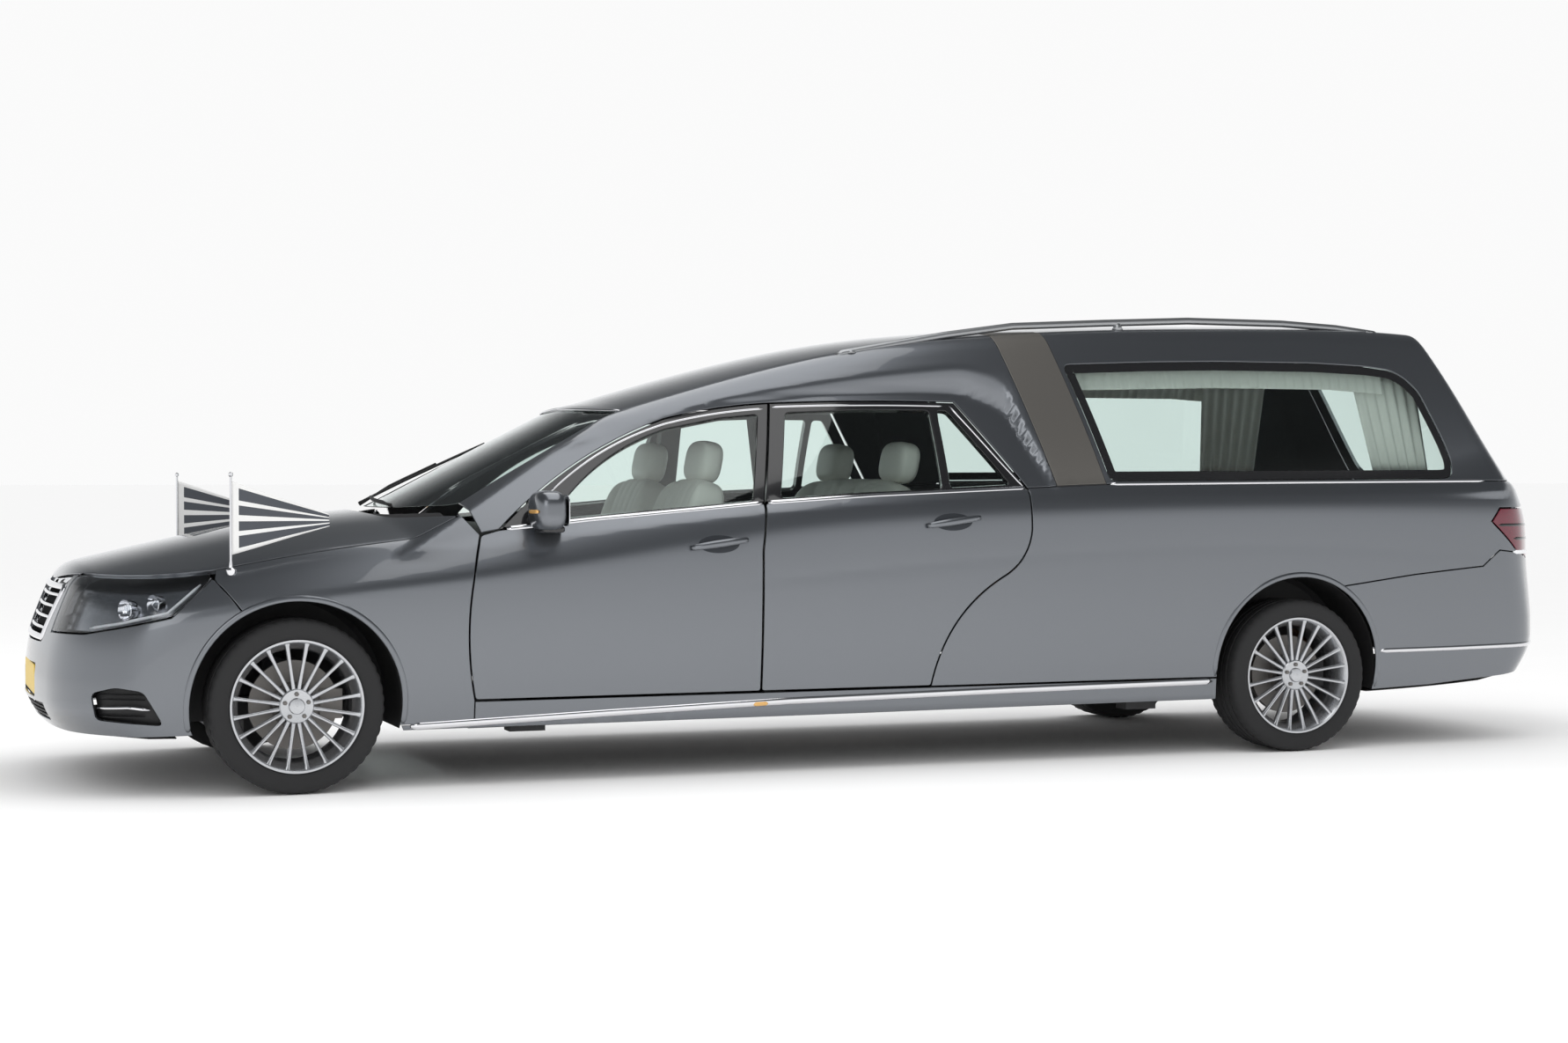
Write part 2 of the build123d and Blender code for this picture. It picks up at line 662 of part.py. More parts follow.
# Floor, bulkhead and posts
FLOOR_TOP = 285
RAIL_IN = 395
RAIL_OUT = 455
RAIL_BOTTOM = 240
PAD_Y = 715
PAD_BOTTOM = 190
PAD_TOP = 245
AXLE_ROOM = 130  # half-length of the opening in the floor for the rear axle
AXLE_SEAT = 285
with BuildPart() as floor_pan:
    add(common(OUTER, block(aft(SILL_START), aft(FLOOR_END), 0, 780, 150, 300)), clean=False)
    add(INNER, clean=False, mode=Mode.SUBTRACT)
    add(block(aft(SILL_START), aft(FLOOR_END), 0, 779, RAIL_BOTTOM, FLOOR_TOP), clean=False)
    add(block(aft(-330), aft(670), RAIL_IN, RAIL_OUT, RAIL_BOTTOM, 330), clean=False)
    add(block(AXLE_R - AXLE_ROOM - 40, AXLE_R + AXLE_ROOM + 40, 0, 545, 270, 320), clean=False)
    for s in (900, 3550):
        with Locations((aft(s), PAD_Y, (PAD_BOTTOM + PAD_TOP) / 2)):
            Box(140, 90, PAD_TOP - PAD_BOTTOM)
    axle_cut = block(AXLE_R - AXLE_ROOM, AXLE_R + AXLE_ROOM, -1, REAR_WELL_Y + 1, 100, AXLE_SEAT)
    for tool in (LOCK_WELL, REAR_WELL, axle_cut):
        add(tool, clean=False, mode=Mode.SUBTRACT)
    mirror(about=Plane.XZ)

with BuildPart() as bulkhead:
    add(block(aft(700), aft(740), 0, 775, FLOOR_TOP, 935))
    add(block(aft(694), aft(790), 690, 775, FLOOR_TOP, 860))
    add(INNER, clean=False, mode=Mode.INTERSECT)
    for y in (HOOD_LUG_Y - 31, HOOD_LUG_Y + 31):
        add(block(aft(646), aft(702), y - 9, y + 9, 860, HOOD_HINGE[1] + 12))
    add(rod((HOOD_HINGE[0], HOOD_LUG_Y, HOOD_HINGE[1]), LID_PIN_R, 84, "Y"))
    mirror(about=Plane.XZ)

# columns: half-width, height
B_POST = [
    (690, FLOOR_TOP), (775, FLOOR_TOP), (775, 1000), (598, 1462), (598, 1640), (540, 1640), (540, 1462),
    (690, 1000),
]
with BuildPart() as b_posts:
    add(common(front_prism(B_POST, aft(1950), aft(1862)), INNER))
    mirror(about=Plane.XZ)

# Engine under the hood
with BuildPart() as engine:
    with Locations((aft(120), 0, 520)):
        Box(640, 420, 470)
    fillet(engine.edges().filter_by(Axis.X), 40)
    with Locations((aft(120), 0, 770)):
        Box(560, 300, 60)
    with Locations((AXLE_F, 0, (RAIL_BOTTOM + 285) / 2)):
        Box(240, 260, 285 - RAIL_BOTTOM)

# Front suspension frame: wishbones whose eyes carry the uprights
STEER_Y = 690
STEER_LOW_Z = 178
STEER_TOP_Z = 474
STEER_MID_Z = (STEER_LOW_Z + STEER_TOP_Z) / 2
EYE_R = 22
STEER_PIN_R = 9
with BuildPart() as front_axle:
    with Locations((AXLE_F, 0, RAIL_BOTTOM - 28)):
        Box(260, 860, 56)
    with Locations((AXLE_F, 358, 350)):
        Box(90, 60, 332)
    for z in (STEER_LOW_Z, STEER_TOP_Z):
        with Locations((AXLE_F, (340 + STEER_Y) / 2, z)):
            Box(46, STEER_Y - 340, 24)
        add(rod((AXLE_F, STEER_Y, z), EYE_R, 24, "Z"))
        add(rod((AXLE_F, STEER_Y, z), STEER_PIN_R + RUN, 60, "Z"), mode=Mode.SUBTRACT)
    mirror(about=Plane.XZ)

# Uprights: steering pins, spindle and brake caliper
DISC_R = 165
DISC_OUT = 4  # the disc's faces, measured inboard of the wheel's middle
DISC_IN = 28


def caliper(x):
    with BuildPart() as solid:
        with Locations((x - 138, TRACK_HALF - 16, AXLE_Z)):
            Box(84, 62, 110)
        with Locations((x - 105, TRACK_HALF - 16, AXLE_Z)):
            Box(130, 34, 130, mode=Mode.SUBTRACT)
        with Locations((x - 80, TRACK_HALF - 62, AXLE_Z)):
            Box(200, 30, 50)
    return solid.part


with BuildPart() as upright_left:
    with Locations((AXLE_F, STEER_Y + 12, STEER_MID_Z)):
        Box(56, 60, STEER_TOP_Z - STEER_LOW_Z - 30)
    add(rod((AXLE_F, STEER_Y, STEER_MID_Z), STEER_PIN_R, STEER_TOP_Z - STEER_LOW_Z + 20, "Z"))
    add(rod((AXLE_F, 780, AXLE_Z), SPINDLE_R, 150, "Y"))
    add(caliper(AXLE_F))

with BuildPart() as rear_axle:
    with Locations((AXLE_R, 0, AXLE_SEAT - 30)):
        Box(240, 1120, 60)
    with Locations((AXLE_R, 575, 300)):
        Box(80, 50, 200)
    with Locations((AXLE_R, 660, AXLE_Z)):
        Box(90, 130, 90)
    add(rod((AXLE_R, 760, AXLE_Z), SPINDLE_R, 190, "Y"))
    add(caliper(AXLE_R))
    mirror(about=Plane.XZ)

# Wheels
# columns: radius, distance outboard of the wheel's middle
RIM_PROFILE = [
    (RIM_SEAT_R, -98), (RIM_R, -98), (RIM_R, -108), (214, -108), (204, 92), (214, 104), (RIM_R, 106),
    (RIM_R, 96), (RIM_SEAT_R, 92),
]
TYRE_PROFILE = [
    (RIM_SEAT_R, 92 - RUN), (RIM_R + RUN, 96 - RUN), (RIM_R + RUN, 108), (258, 118), (300, TYRE_W / 2),
    (TYRE_R, 100), (TYRE_R, -100), (300, -TYRE_W / 2), (258, -118), (RIM_R + RUN, -110),
    (RIM_R + RUN, RUN - 98), (RIM_SEAT_R, RUN - 98),
]
HUB_R = 62
SPOKE_OUT = 92
SPOKE_IN = 62


def wheel_ring(profile, x):
    """Ring turned about the axle from a profile of radius and offset."""
    with BuildPart() as ring:
        with BuildSketch(Plane.XY):
            with BuildLine():
                Polyline(*[(radius, out) for radius, out in profile], close=True)
            make_face()
        revolve(axis=Axis.Y)
    return ring.part.moved(Location((x, TRACK_HALF, AXLE_Z)))


def rim(x):
    with BuildPart() as solid:
        add(wheel_ring(RIM_PROFILE, x))
        for k in range(SPOKES):
            turn = 360 / SPOKES * k
            with Locations(Location((x, TRACK_HALF, AXLE_Z), (0, turn, 0))):
                with Locations((134, (SPOKE_OUT + SPOKE_IN) / 2, 0)):
                    Box(152, SPOKE_OUT - SPOKE_IN, 13)
        add(rod((x, TRACK_HALF + 26, AXLE_Z), HUB_R, 132, "Y"))
        add(rod((x, TRACK_HALF - (DISC_IN + DISC_OUT) / 2, AXLE_Z), DISC_R, DISC_IN - DISC_OUT, "Y"))
        add(rod((x, TRACK_HALF + 10, AXLE_Z), SPINDLE_R + RUN, 120, "Y"), mode=Mode.SUBTRACT)
    return solid.part


with BuildPart() as tyre_front_left:
    add(wheel_ring(TYRE_PROFILE, AXLE_F))
with BuildPart() as tyre_rear_left:
    add(wheel_ring(TYRE_PROFILE, AXLE_R))
with BuildPart() as wheel_front_left:
    add(rim(AXLE_F))
with BuildPart() as wheel_rear_left:
    add(rim(AXLE_R))

# Underside
with BuildPart() as exhaust_twin:
    with Locations((aft(2450), 230, 190)):
        Box(700, 240, 70)
    with Locations((aft(5000), 330, 215)):
        Box(420, 300, 110)
    add(rod((aft(2300), 230, 190), 28, 3300, "X"))
    add(rod((aft(4400), 230, 190), 28, 900, "X"))
    add(OUTER, clean=False, mode=Mode.SUBTRACT)
with BuildPart() as exhaust:
    mirror(largest(exhaust_twin.part), about=Plane.XZ)

# Seats
SEAT_Y = 370


def seat(x, y, width, headrests):
    """Padded seat facing forward: cushion, raked back and headrests."""
    with BuildPart() as solid:
        with Locations((x, y, FLOOR_TOP + 125)):
            Box(540, width, 250)
        fillet(solid.edges().filter_by(Axis.Y), 40)
        with Locations(Location((x - 300, y, FLOOR_TOP + 470), (0, -18, 0))):
            Box(130, width - 20, 660)
        for place in headrests:
            with Locations(Location((x - 425, place, FLOOR_TOP + 895), (0, -12, 0))):
                Box(110, 260, 180)
            with Locations(Location((x - 410, place, FLOOR_TOP + 790), (0, -12, 0))):
                Box(40, 120, 120)
    return solid.part


with BuildPart() as seat_left:
    add(seat(aft(1290), SEAT_Y, 520, [SEAT_Y]))
with BuildPart() as rear_bench:
    add(seat(aft(2160), 0, 1240, [-SEAT_Y, SEAT_Y]))

# Dashboard and steering wheel
# columns: distance behind the front axle, height
DASH = [(740, 700), (740, 930), (770, 985), (960, 960), (1000, 900), (980, 760), (860, 700)]
COLUMN = Location((aft(1090), SEAT_Y, 905), (0, -68, 0))
COLUMN_R = 18
COLUMN_L = 190
COLUMN_TIP = 8
with BuildPart() as dashboard:
    add(common(side_prism(DASH, 0, 685), INNER))
    mirror(about=Plane.XZ)
    with Locations(COLUMN):
        with Locations((0, 0, -COLUMN_TIP - COLUMN_L / 2)):
            Cylinder(COLUMN_R, COLUMN_L)
with BuildPart() as steering_wheel:
    with Locations(COLUMN):
        Torus(182, 14)
        Cylinder(50, 44)
        Box(360, 40, 14)
        Box(40, 360, 14)
        with Locations((0, 0, -COLUMN_TIP - 10)):
            Cylinder(COLUMN_R + RUN, 30, mode=Mode.SUBTRACT)

# Load deck over the rear wheels
DECK_TOP = 790
with BuildPart() as load_deck:
    add(block(aft(2860), aft(5440), -560, 560, DECK_TOP - 30, DECK_TOP))
    for s in (2900, 3650, 4440):
        for y in (-520, 520):
            add(block(aft(s), aft(s + 100), y - 20, y + 20, FLOOR_TOP, DECK_TOP - 30))

# Fittings outside
with BuildPart() as mirror_left:
    with Locations((aft(965), 975, 1052)):
        Box(230, 120, 130)
    fillet(mirror_left.edges().filter_by(Axis.Y), 45)
    with Locations((aft(930), 875, 1010)):
        Box(80, 160, 34)
    add(common(block(aft(700), aft(1200), 0, 1200, 900, 1300), OUTER), mode=Mode.SUBTRACT)
with BuildPart() as handle_front_left:
    with Locations((aft(1622), 930, 915)):
        Box(236, 60, 36)
    fillet(handle_front_left.edges().filter_by(Axis.Y), 14)
    add(OUTER, clean=False, mode=Mode.SUBTRACT)
with BuildPart() as handle_rear_left:
    with Locations((aft(2616), 930, 995)):
        Box(236, 60, 36)
    fillet(handle_rear_left.edges().filter_by(Axis.Y), 14)
    add(OUTER, clean=False, mode=Mode.SUBTRACT)
# columns: distance behind the front axle, height
RAIL = [
    (2200, 1640), (2223, 1672), (2421, 1708), (3026, 1803), (3450, 1836), (3856, 1852), (4321, 1848),
    (4593, 1832), (4860, 1795), (4880, 1760), (4600, 1760), (4580, 1806), (4321, 1822), (3856, 1826),
    (3600, 1820), (3590, 1700), (3480, 1700), (3470, 1811), (3026, 1777), (2500, 1696), (2480, 1640),
]
with BuildPart() as rail_left:
    add(side_prism(RAIL, 585, 615))
    add(OUTER, clean=False, mode=Mode.SUBTRACT)
FLAG_X = aft(-228)
FLAG_Y = 812
with BuildPart() as flag_staff_left:
    with Locations((FLAG_X, FLAG_Y, 970)):
        Cylinder(5, 400)
    with Locations((FLAG_X, FLAG_Y, 1172)):
        Sphere(12)
    with Locations((FLAG_X, FLAG_Y, 820)):
        Cylinder(14, 60)
    add(OUTER, clean=False, mode=Mode.SUBTRACT)
with BuildPart() as pennant_left:
    with BuildSketch(Plane.XZ.offset(-FLAG_Y)):
        with BuildLine():
            Polyline((FLAG_X - 5, 880), (FLAG_X - 5, 1150), (FLAG_X - 360, 1015), close=True)
        make_face()
    extrude(amount=2, both=True)

LEFT = dict(
    door_front=door_front_left, door_rear=door_rear_left, glass_front=glass_front_left,
    glass_rear=glass_rear_left, fender=fender_left, quarter=quarter_left, upright=upright_left,
    tyre_front=tyre_front_left, tyre_rear=tyre_rear_left, wheel_front=wheel_front_left,
    wheel_rear=wheel_rear_left, seat=seat_left, mirror=mirror_left, handle_front=handle_front_left,
    handle_rear=handle_rear_left,
)
PAIRS = dict(
    sills=sill_left, tail_lamps=tail_lamp_left, headlamps=headlamp_left, pillar_blades=blade_left,
    load_glass=load_glass_left, roof_rails=rail_left, flag_staffs=flag_staff_left, pennants=pennant_left,
)
MIDDLE = dict(
    door_hinges=door_hinges, hood=hood, tailgate=tailgate, tailgate_glass=tailgate_glass,
    rear_bumper=rear_bumper, front_bumper=front_bumper, grille=grille, roof=roof, cowl=cowl,
    windscreen=windscreen, floor_pan=floor_pan, bulkhead=bulkhead, b_posts=b_posts, engine=engine,
    front_axle=front_axle, rear_axle=rear_axle, exhaust=exhaust, rear_bench=rear_bench,
    dashboard=dashboard, steering_wheel=steering_wheel, load_deck=load_deck,
)

for name, builder in MIDDLE.items():
    save(builder, name)
for name, builder in PAIRS.items():
    with BuildPart() as pair:
        add(builder.part, clean=False)
        mirror(builder.part, about=Plane.XZ)
    save(pair, name)
for name, builder in LEFT.items():
    with BuildPart() as right:
        mirror(builder.part, about=Plane.XZ)
    save(builder, name + "_left")
    save(right, name + "_right")
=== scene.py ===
import json
import math

import bpy
import numpy as np
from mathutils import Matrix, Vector
from mathutils.geometry import delaunay_2d_cdt


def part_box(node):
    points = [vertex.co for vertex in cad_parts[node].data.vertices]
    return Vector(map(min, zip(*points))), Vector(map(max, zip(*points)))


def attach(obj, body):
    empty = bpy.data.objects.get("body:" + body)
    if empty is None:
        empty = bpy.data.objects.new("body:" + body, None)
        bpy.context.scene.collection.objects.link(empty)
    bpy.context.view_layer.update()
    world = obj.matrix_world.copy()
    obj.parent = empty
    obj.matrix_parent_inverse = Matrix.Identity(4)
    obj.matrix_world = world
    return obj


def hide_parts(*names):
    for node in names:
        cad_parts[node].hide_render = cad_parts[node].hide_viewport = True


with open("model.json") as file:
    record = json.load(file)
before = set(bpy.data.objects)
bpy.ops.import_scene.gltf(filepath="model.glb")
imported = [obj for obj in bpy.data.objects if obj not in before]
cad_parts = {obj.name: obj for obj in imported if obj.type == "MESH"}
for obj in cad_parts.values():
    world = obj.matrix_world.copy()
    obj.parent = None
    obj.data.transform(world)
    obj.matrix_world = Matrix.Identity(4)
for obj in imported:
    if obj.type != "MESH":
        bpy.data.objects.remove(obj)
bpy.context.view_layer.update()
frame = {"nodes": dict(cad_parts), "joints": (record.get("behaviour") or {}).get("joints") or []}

# Body shell: pressed steel, all its panels cut from one smooth outer surface.
# The surface is rebuilt here from the cross-sections of the car, as a field that is negative inside,
# so that every panel, window and lamp lies on it with clean highlights.
JOINT = {joint["name"]: joint for joint in frame["joints"]}
AXLE_F = JOINT["steer_left"]["pos_m"][0]
AXLE_R = JOINT["wheel_rear_left_spin"]["pos_m"][0]
AXLE_Z = JOINT["wheel_rear_left_spin"]["pos_m"][2]
TRACK = JOINT["wheel_rear_left_spin"]["pos_m"][1]
REAR_S = 4.230
HALF = 0.927
FRONT_X = 3.290
REAR_X = -3.290

# columns: distance behind the front axle, bottom, sill in, crease in, crease z, belt in, belt z, crown z
TUB = np.array([
    (-0.930, 0.215, 0.090, 0.050, 0.560, 0.135, 0.690, 0.792),
    (-0.400, 0.205, 0.066, 0.030, 0.660, 0.118, 0.798, 0.915),
    (0.000, 0.205, 0.058, 0.014, 0.722, 0.106, 0.868, 0.992),
    (0.620, 0.210, 0.054, 0.004, 0.784, 0.084, 0.942, 1.056),
    (1.830, 0.215, 0.052, 0.000, 0.910, 0.044, 1.062, 1.080),
    (2.950, 0.220, 0.052, 0.000, 0.984, 0.042, 1.124, 1.138),
    (4.230, 0.225, 0.054, 0.004, 1.005, 0.046, 1.140, 1.152),
    (5.130, 0.250, 0.070, 0.026, 0.985, 0.072, 1.148, 1.160),
    (5.710, 0.300, 0.120, 0.070, 0.960, 0.120, 1.150, 1.162),
])
# columns: distance behind the front axle, base in, base z, edge in, edge z, roof z
CABIN = np.array([
    (0.200, 0.060, 0.860, 0.330, 1.340, 1.398),
    (1.340, 0.050, 0.960, 0.312, 1.412, 1.468),
    (1.900, 0.048, 1.030, 0.268, 1.490, 1.540),
    (3.150, 0.044, 1.090, 0.262, 1.500, 1.550),
])
LOAD = np.array([
    (1.230, 0.062, 0.960, 0.322, 1.392, 1.446),
    (1.800, 0.052, 1.020, 0.300, 1.558, 1.610),
    (2.350, 0.048, 1.060, 0.286, 1.682, 1.732),
    (2.950, 0.045, 1.090, 0.276, 1.752, 1.796),
    (4.230, 0.048, 1.100, 0.264, 1.800, 1.846),
    (4.850, 0.060, 1.100, 0.270, 1.796, 1.842),
    (5.710, 0.112, 1.100, 0.305, 1.715, 1.762),
])
# columns: z, nose in, tail in
TUB_PLAN = np.array([
    (0.180, 0.110, 0.170), (0.300, 0.008, 0.080), (0.420, 0.000, 0.008), (0.540, 0.016, 0.000),
    (0.680, 0.062, 0.014), (0.800, 0.116, 0.026), (0.960, 0.230, 0.034), (1.100, 0.340, 0.080),
    (1.250, 0.480, 0.170),
])
# columns: z, windscreen behind the front axle, tailgate behind the rear axle
HOUSE_PLAN = np.array([
    (0.840, 0.020, 1.430), (1.045, 0.425, 1.412), (1.250, 0.830, 1.275),
    (1.450, 1.225, 1.130), (1.650, 1.620, 0.985), (1.900, 2.115, 0.790),
])
# columns: distance behind the front axle, height on the cabin, height on the load body
STEP = np.array([
    (1.080, 1.262, 1.372), (1.315, 1.340, 1.413), (1.528, 1.408, 1.484), (1.823, 1.460, 1.535),
    (2.207, 1.475, 1.598), (2.502, 1.479, 1.631), (2.740, 1.479, 1.643), (2.885, 1.268, 1.600),
    (2.975, 1.113, 1.362), (3.090, 0.930, 1.113), (3.130, 0.900, 1.000),
])
STEP_EASE = (-0.04, -0.02, 0.0, 0.02, 0.04)
STEP_IN_Y = 0.662
STEP_OUT_Y = 0.735
# half-width and set-back at the start of each rounded plan corner, then at its end
NOSE = (0.470, 0.045, 0.960, 0.560)
TAIL = (0.520, 0.055, 0.960, 0.480)
SCREEN = (0.450, 0.072, 0.960, 0.380)
HATCH = (0.480, 0.060, 0.960, 0.440)
# how far the sides bulge between their lines, and how far each pair of surfaces blends where they meet
LOWER_BULGE = 0.014
UPPER_BULGE = 0.005
CREASE_BLEND = 0.012
SHOULDER_BLEND = 0.045
NOSE_BLEND = 0.05
TAIL_BLEND = 0.04
FLOOR_BLEND = 0.02
CABIN_BULGE = 0.012
CABIN_BLEND = 0.03
LOAD_BULGE = 0.020
LOAD_BLEND = 0.05
STEP_BLEND = 0.035
HOUSE_BLEND = 0.016
SCREEN_BLEND = 0.012
HATCH_BLEND = 0.03
BELT_BLEND = 0.010
# sine of the slope of the windscreen and of the tailgate, which turns lengthwise into square distance
SCREEN_SLOPE = 0.45
HATCH_SLOPE = 0.83
NORMAL_STEP = 0.012
HALVINGS = 24


def spline(knots, values):
    """Natural cubic curve through the values, held flat past its ends."""
    order = np.argsort(knots)
    x, y = knots[order], values[order]
    h = np.diff(x)
    count = len(x)
    matrix = np.eye(count)
    right = np.zeros(count)
    for i in range(1, count - 1):
        matrix[i, i - 1:i + 2] = h[i - 1], 2 * (h[i - 1] + h[i]), h[i]
        right[i] = 6 * ((y[i + 1] - y[i]) / h[i] - (y[i] - y[i - 1]) / h[i - 1])
    bend = np.linalg.solve(matrix, right)

    def at(q):
        q = np.clip(q, x[0], x[-1])
        i = np.clip(np.searchsorted(x, q) - 1, 0, count - 2)
        a = (x[i + 1] - q) / h[i]
        b = 1 - a
        curve = ((a ** 3 - a) * bend[i] + (b ** 3 - b) * bend[i + 1]) * h[i] ** 2 / 6
        return a * y[i] + b * y[i + 1] + curve
    return at


TUB_AT = [spline(TUB[:, 0], TUB[:, k]) for k in range(1, 8)]
CABIN_AT = [spline(CABIN[:, 0], CABIN[:, k]) for k in range(1, 6)]
LOAD_AT = [spline(LOAD[:, 0], LOAD[:, k]) for k in range(1, 6)]
PLAN_AT = [spline(TUB_PLAN[:, 0], TUB_PLAN[:, k]) for k in (1, 2)]
HOUSE_AT = [spline(HOUSE_PLAN[:, 0], HOUSE_PLAN[:, k]) for k in (1, 2)]


def smooth_min(a, b, k):
    h = np.clip(0.5 + 0.5 * (b - a) / k, 0, 1)
    return b * (1 - h) + a * h - k * h * (1 - h)


def smooth_max(a, b, k):
    return -smooth_min(-a, -b, k)


def plan_depth(ahead, y, corner):
    """Depth in front of a bowed end with rounded corners; ahead is measured from its foremost point."""
    half, back, _, _ = corner
    bow_r = (half ** 2 + back ** 2) / (2 * back)
    slope = half / bow_r
    level = math.sqrt(1 - slope ** 2)
    chord = np.array([corner[3] - back, corner[2] - half])
    turn_r = chord @ chord / (2 * (chord[0] * level - chord[1] * slope))
    centre = -back - turn_r * level
    centre_y = half - turn_r * slope
    bow = ahead + y ** 2 / (2 * bow_r)
    beyond = np.hypot(np.maximum(ahead - centre, 0), y - centre_y) - turn_r
    return np.where(y > half, beyond, bow)


def tube_depth(s, y, z, rows_at, bulge, round_k):
    base_in, base_z, edge_in, edge_z, roof_z = [at(s) for at in rows_at]
    base, edge = HALF - base_in, HALF - edge_in
    t = (z - base_z) / (edge_z - base_z)
    lean = np.hypot(edge_z - base_z, base - edge) / (edge_z - base_z)
    side = (y - base - (edge - base) * t) / lean - 4 * bulge * t * (1 - t)
    top = z - roof_z + (roof_z - edge_z) * (y / edge) ** 2
    return np.maximum(smooth_max(side, top, round_k), base_z - z)


def eased(knots, values):
    """Smooth curve through the values that never swings past them, held flat past its ends."""
    width = np.diff(knots)
    slope = np.diff(values) / width
    tangent = np.zeros(len(knots))
    same = slope[:-1] * slope[1:] > 0
    mean = 2 * slope[:-1] * slope[1:] / np.where(same, slope[:-1] + slope[1:], 1.0)
    tangent[1:-1] = np.where(same, mean, 0.0)

    def once(q):
        q = np.clip(q, knots[0], knots[-1])
        i = np.clip(np.searchsorted(knots, q) - 1, 0, len(width) - 1)
        t = (q - knots[i]) / width[i]
        rise = values[i] * (1 - t) ** 2 * (1 + 2 * t) + values[i + 1] * t ** 2 * (3 - 2 * t)
        return rise + width[i] * (tangent[i] * t * (1 - t) ** 2 - tangent[i + 1] * t ** 2 * (1 - t))

    def at(s):
        return sum(once(s + shift) for shift in STEP_EASE) / len(STEP_EASE)
    return at


STEP_LOW_AT = eased(STEP[:, 0], STEP[:, 1])
STEP_HIGH_AT = eased(STEP[:, 0], STEP[:, 2])


def body_depth(p):
    """Signed depth of points: negative inside the car's outer skin."""
    x, y, z = p[:, 0], np.abs(p[:, 1]), p[:, 2]
    s = AXLE_F - x
    bottom, sill_in, crease_in, crease_z, belt_in, belt_z, crown = [at(s) for at in TUB_AT]
    sill, crease, belt = HALF - sill_in, HALF - crease_in, HALF - belt_in
    t = (z - bottom) / (crease_z - bottom)
    u = (z - crease_z) / (belt_z - crease_z)
    lower = sill + (crease - sill) * t + 4 * LOWER_BULGE * t * (1 - t)
    upper = crease + (belt - crease) * u + 4 * UPPER_BULGE * np.clip(u, -1, 2) * (1 - u)
    side = y - smooth_min(lower, upper, CREASE_BLEND)
    top = z - crown + (crown - belt_z) * (y / belt) ** 2
    tub = smooth_max(side, top, SHOULDER_BLEND)
    nose_in, tail_in = (np.maximum(at(z), 0.0) for at in PLAN_AT)
    tub = smooth_max(tub, plan_depth(x - FRONT_X + nose_in, y, NOSE), NOSE_BLEND)
    tub = smooth_max(tub, plan_depth(REAR_X + tail_in - x, y, TAIL), TAIL_BLEND)
    tub = smooth_max(tub, bottom - z, FLOOR_BLEND)
    cabin = tube_depth(s, y, z, CABIN_AT, CABIN_BULGE, CABIN_BLEND)
    load = tube_depth(s, y, z, LOAD_AT, LOAD_BULGE, LOAD_BLEND)
    cabin_line = STEP_LOW_AT(s)
    load_line = STEP_HIGH_AT(s)
    rise = (load_line - cabin_line) / (STEP_OUT_Y - STEP_IN_Y)
    band = (z - np.minimum(cabin_line + rise * (y - STEP_IN_Y), load_line)) / np.sqrt(1 + rise ** 2)
    band = np.maximum(band, STEP_IN_Y - y)
    band = np.maximum(band, s - STEP[-1, 0])
    house = smooth_min(cabin, smooth_max(load, -band, STEP_BLEND), HOUSE_BLEND)
    screen_s, hatch_s = (at(z) for at in HOUSE_AT)
    house = smooth_max(house, SCREEN_SLOPE * plan_depth(x - AXLE_F + screen_s, y, SCREEN), SCREEN_BLEND)
    house = smooth_max(house, HATCH_SLOPE * plan_depth(AXLE_R - hatch_s - x, y, HATCH), HATCH_BLEND)
    return smooth_min(tub, house, BELT_BLEND)


class Chart:
    """A way of looking at the shell: flat coordinates, and a ray out of the car for each of them."""

    def __init__(self, rays, flatten, reach):
        self.rays = rays
        self.flatten = flatten
        self.reach = reach

    def cast(self, flat, sink=0.0):
        """Points on the shell, drawn in by sink, and the outward normals there."""
        origin, direction = self.rays(np.asarray(flat, float))
        near = np.zeros(len(origin))
        far = np.full(len(origin), self.reach)
        for _ in range(HALVINGS):
            middle = (near + far) / 2
            inside = body_depth(origin + direction * middle[:, None]) + sink < 0
            near = np.where(inside, middle, near)
            far = np.where(inside, far, middle)
        points = origin + direction * near[:, None]
        slope = np.stack([body_depth(points + step) - body_depth(points - step)
                          for step in NORMAL_STEP * np.eye(3)], 1)
        return points, slope / np.linalg.norm(slope, axis=1)[:, None]


def stack(*columns):
    size = max(np.size(column) for column in columns)
    return np.stack([np.broadcast_to(column, (size,)) for column in columns], 1)


def wrap_chart(z_axis, scale):
    """Rays round a lengthwise line at a height; the second coordinate is the angle times scale."""
    def rays(flat):
        angle = flat[:, 1] / scale
        return stack(flat[:, 0], 0.0, z_axis), stack(0.0 * angle, np.cos(angle), np.sin(angle))

    def flatten(p):
        return stack(p[:, 0], np.arctan2(p[:, 2] - z_axis, p[:, 1]) * scale)
    return Chart(rays, flatten, 1.6)


SIDE = Chart(lambda f: (stack(f[:, 0], 0.0, f[:, 1]), stack(0.0, 1.0, np.zeros(len(f)))),
             lambda p: p[:, [0, 2]], 1.3)
ABOVE = Chart(lambda f: (stack(f[:, 0], f[:, 1], 0.5), stack(0.0, 0.0, np.ones(len(f)))),
              lambda p: p[:, :2], 1.6)
AHEAD = Chart(lambda f: (stack(AXLE_F - 1.6, f[:, 0], f[:, 1]), stack(1.0, 0.0, np.zeros(len(f)))),
              lambda p: p[:, 1:], 3.2)
BEHIND = Chart(lambda f: (stack(AXLE_R - 0.3, f[:, 0], f[:, 1]), stack(-1.0, 0.0, np.zeros(len(f)))),
               lambda p: p[:, 1:], 2.4)
WRAP_SCALE = 0.8
LOW_WRAP = wrap_chart(0.55, WRAP_SCALE)
HIGH_WRAP = wrap_chart(0.95, WRAP_SCALE)


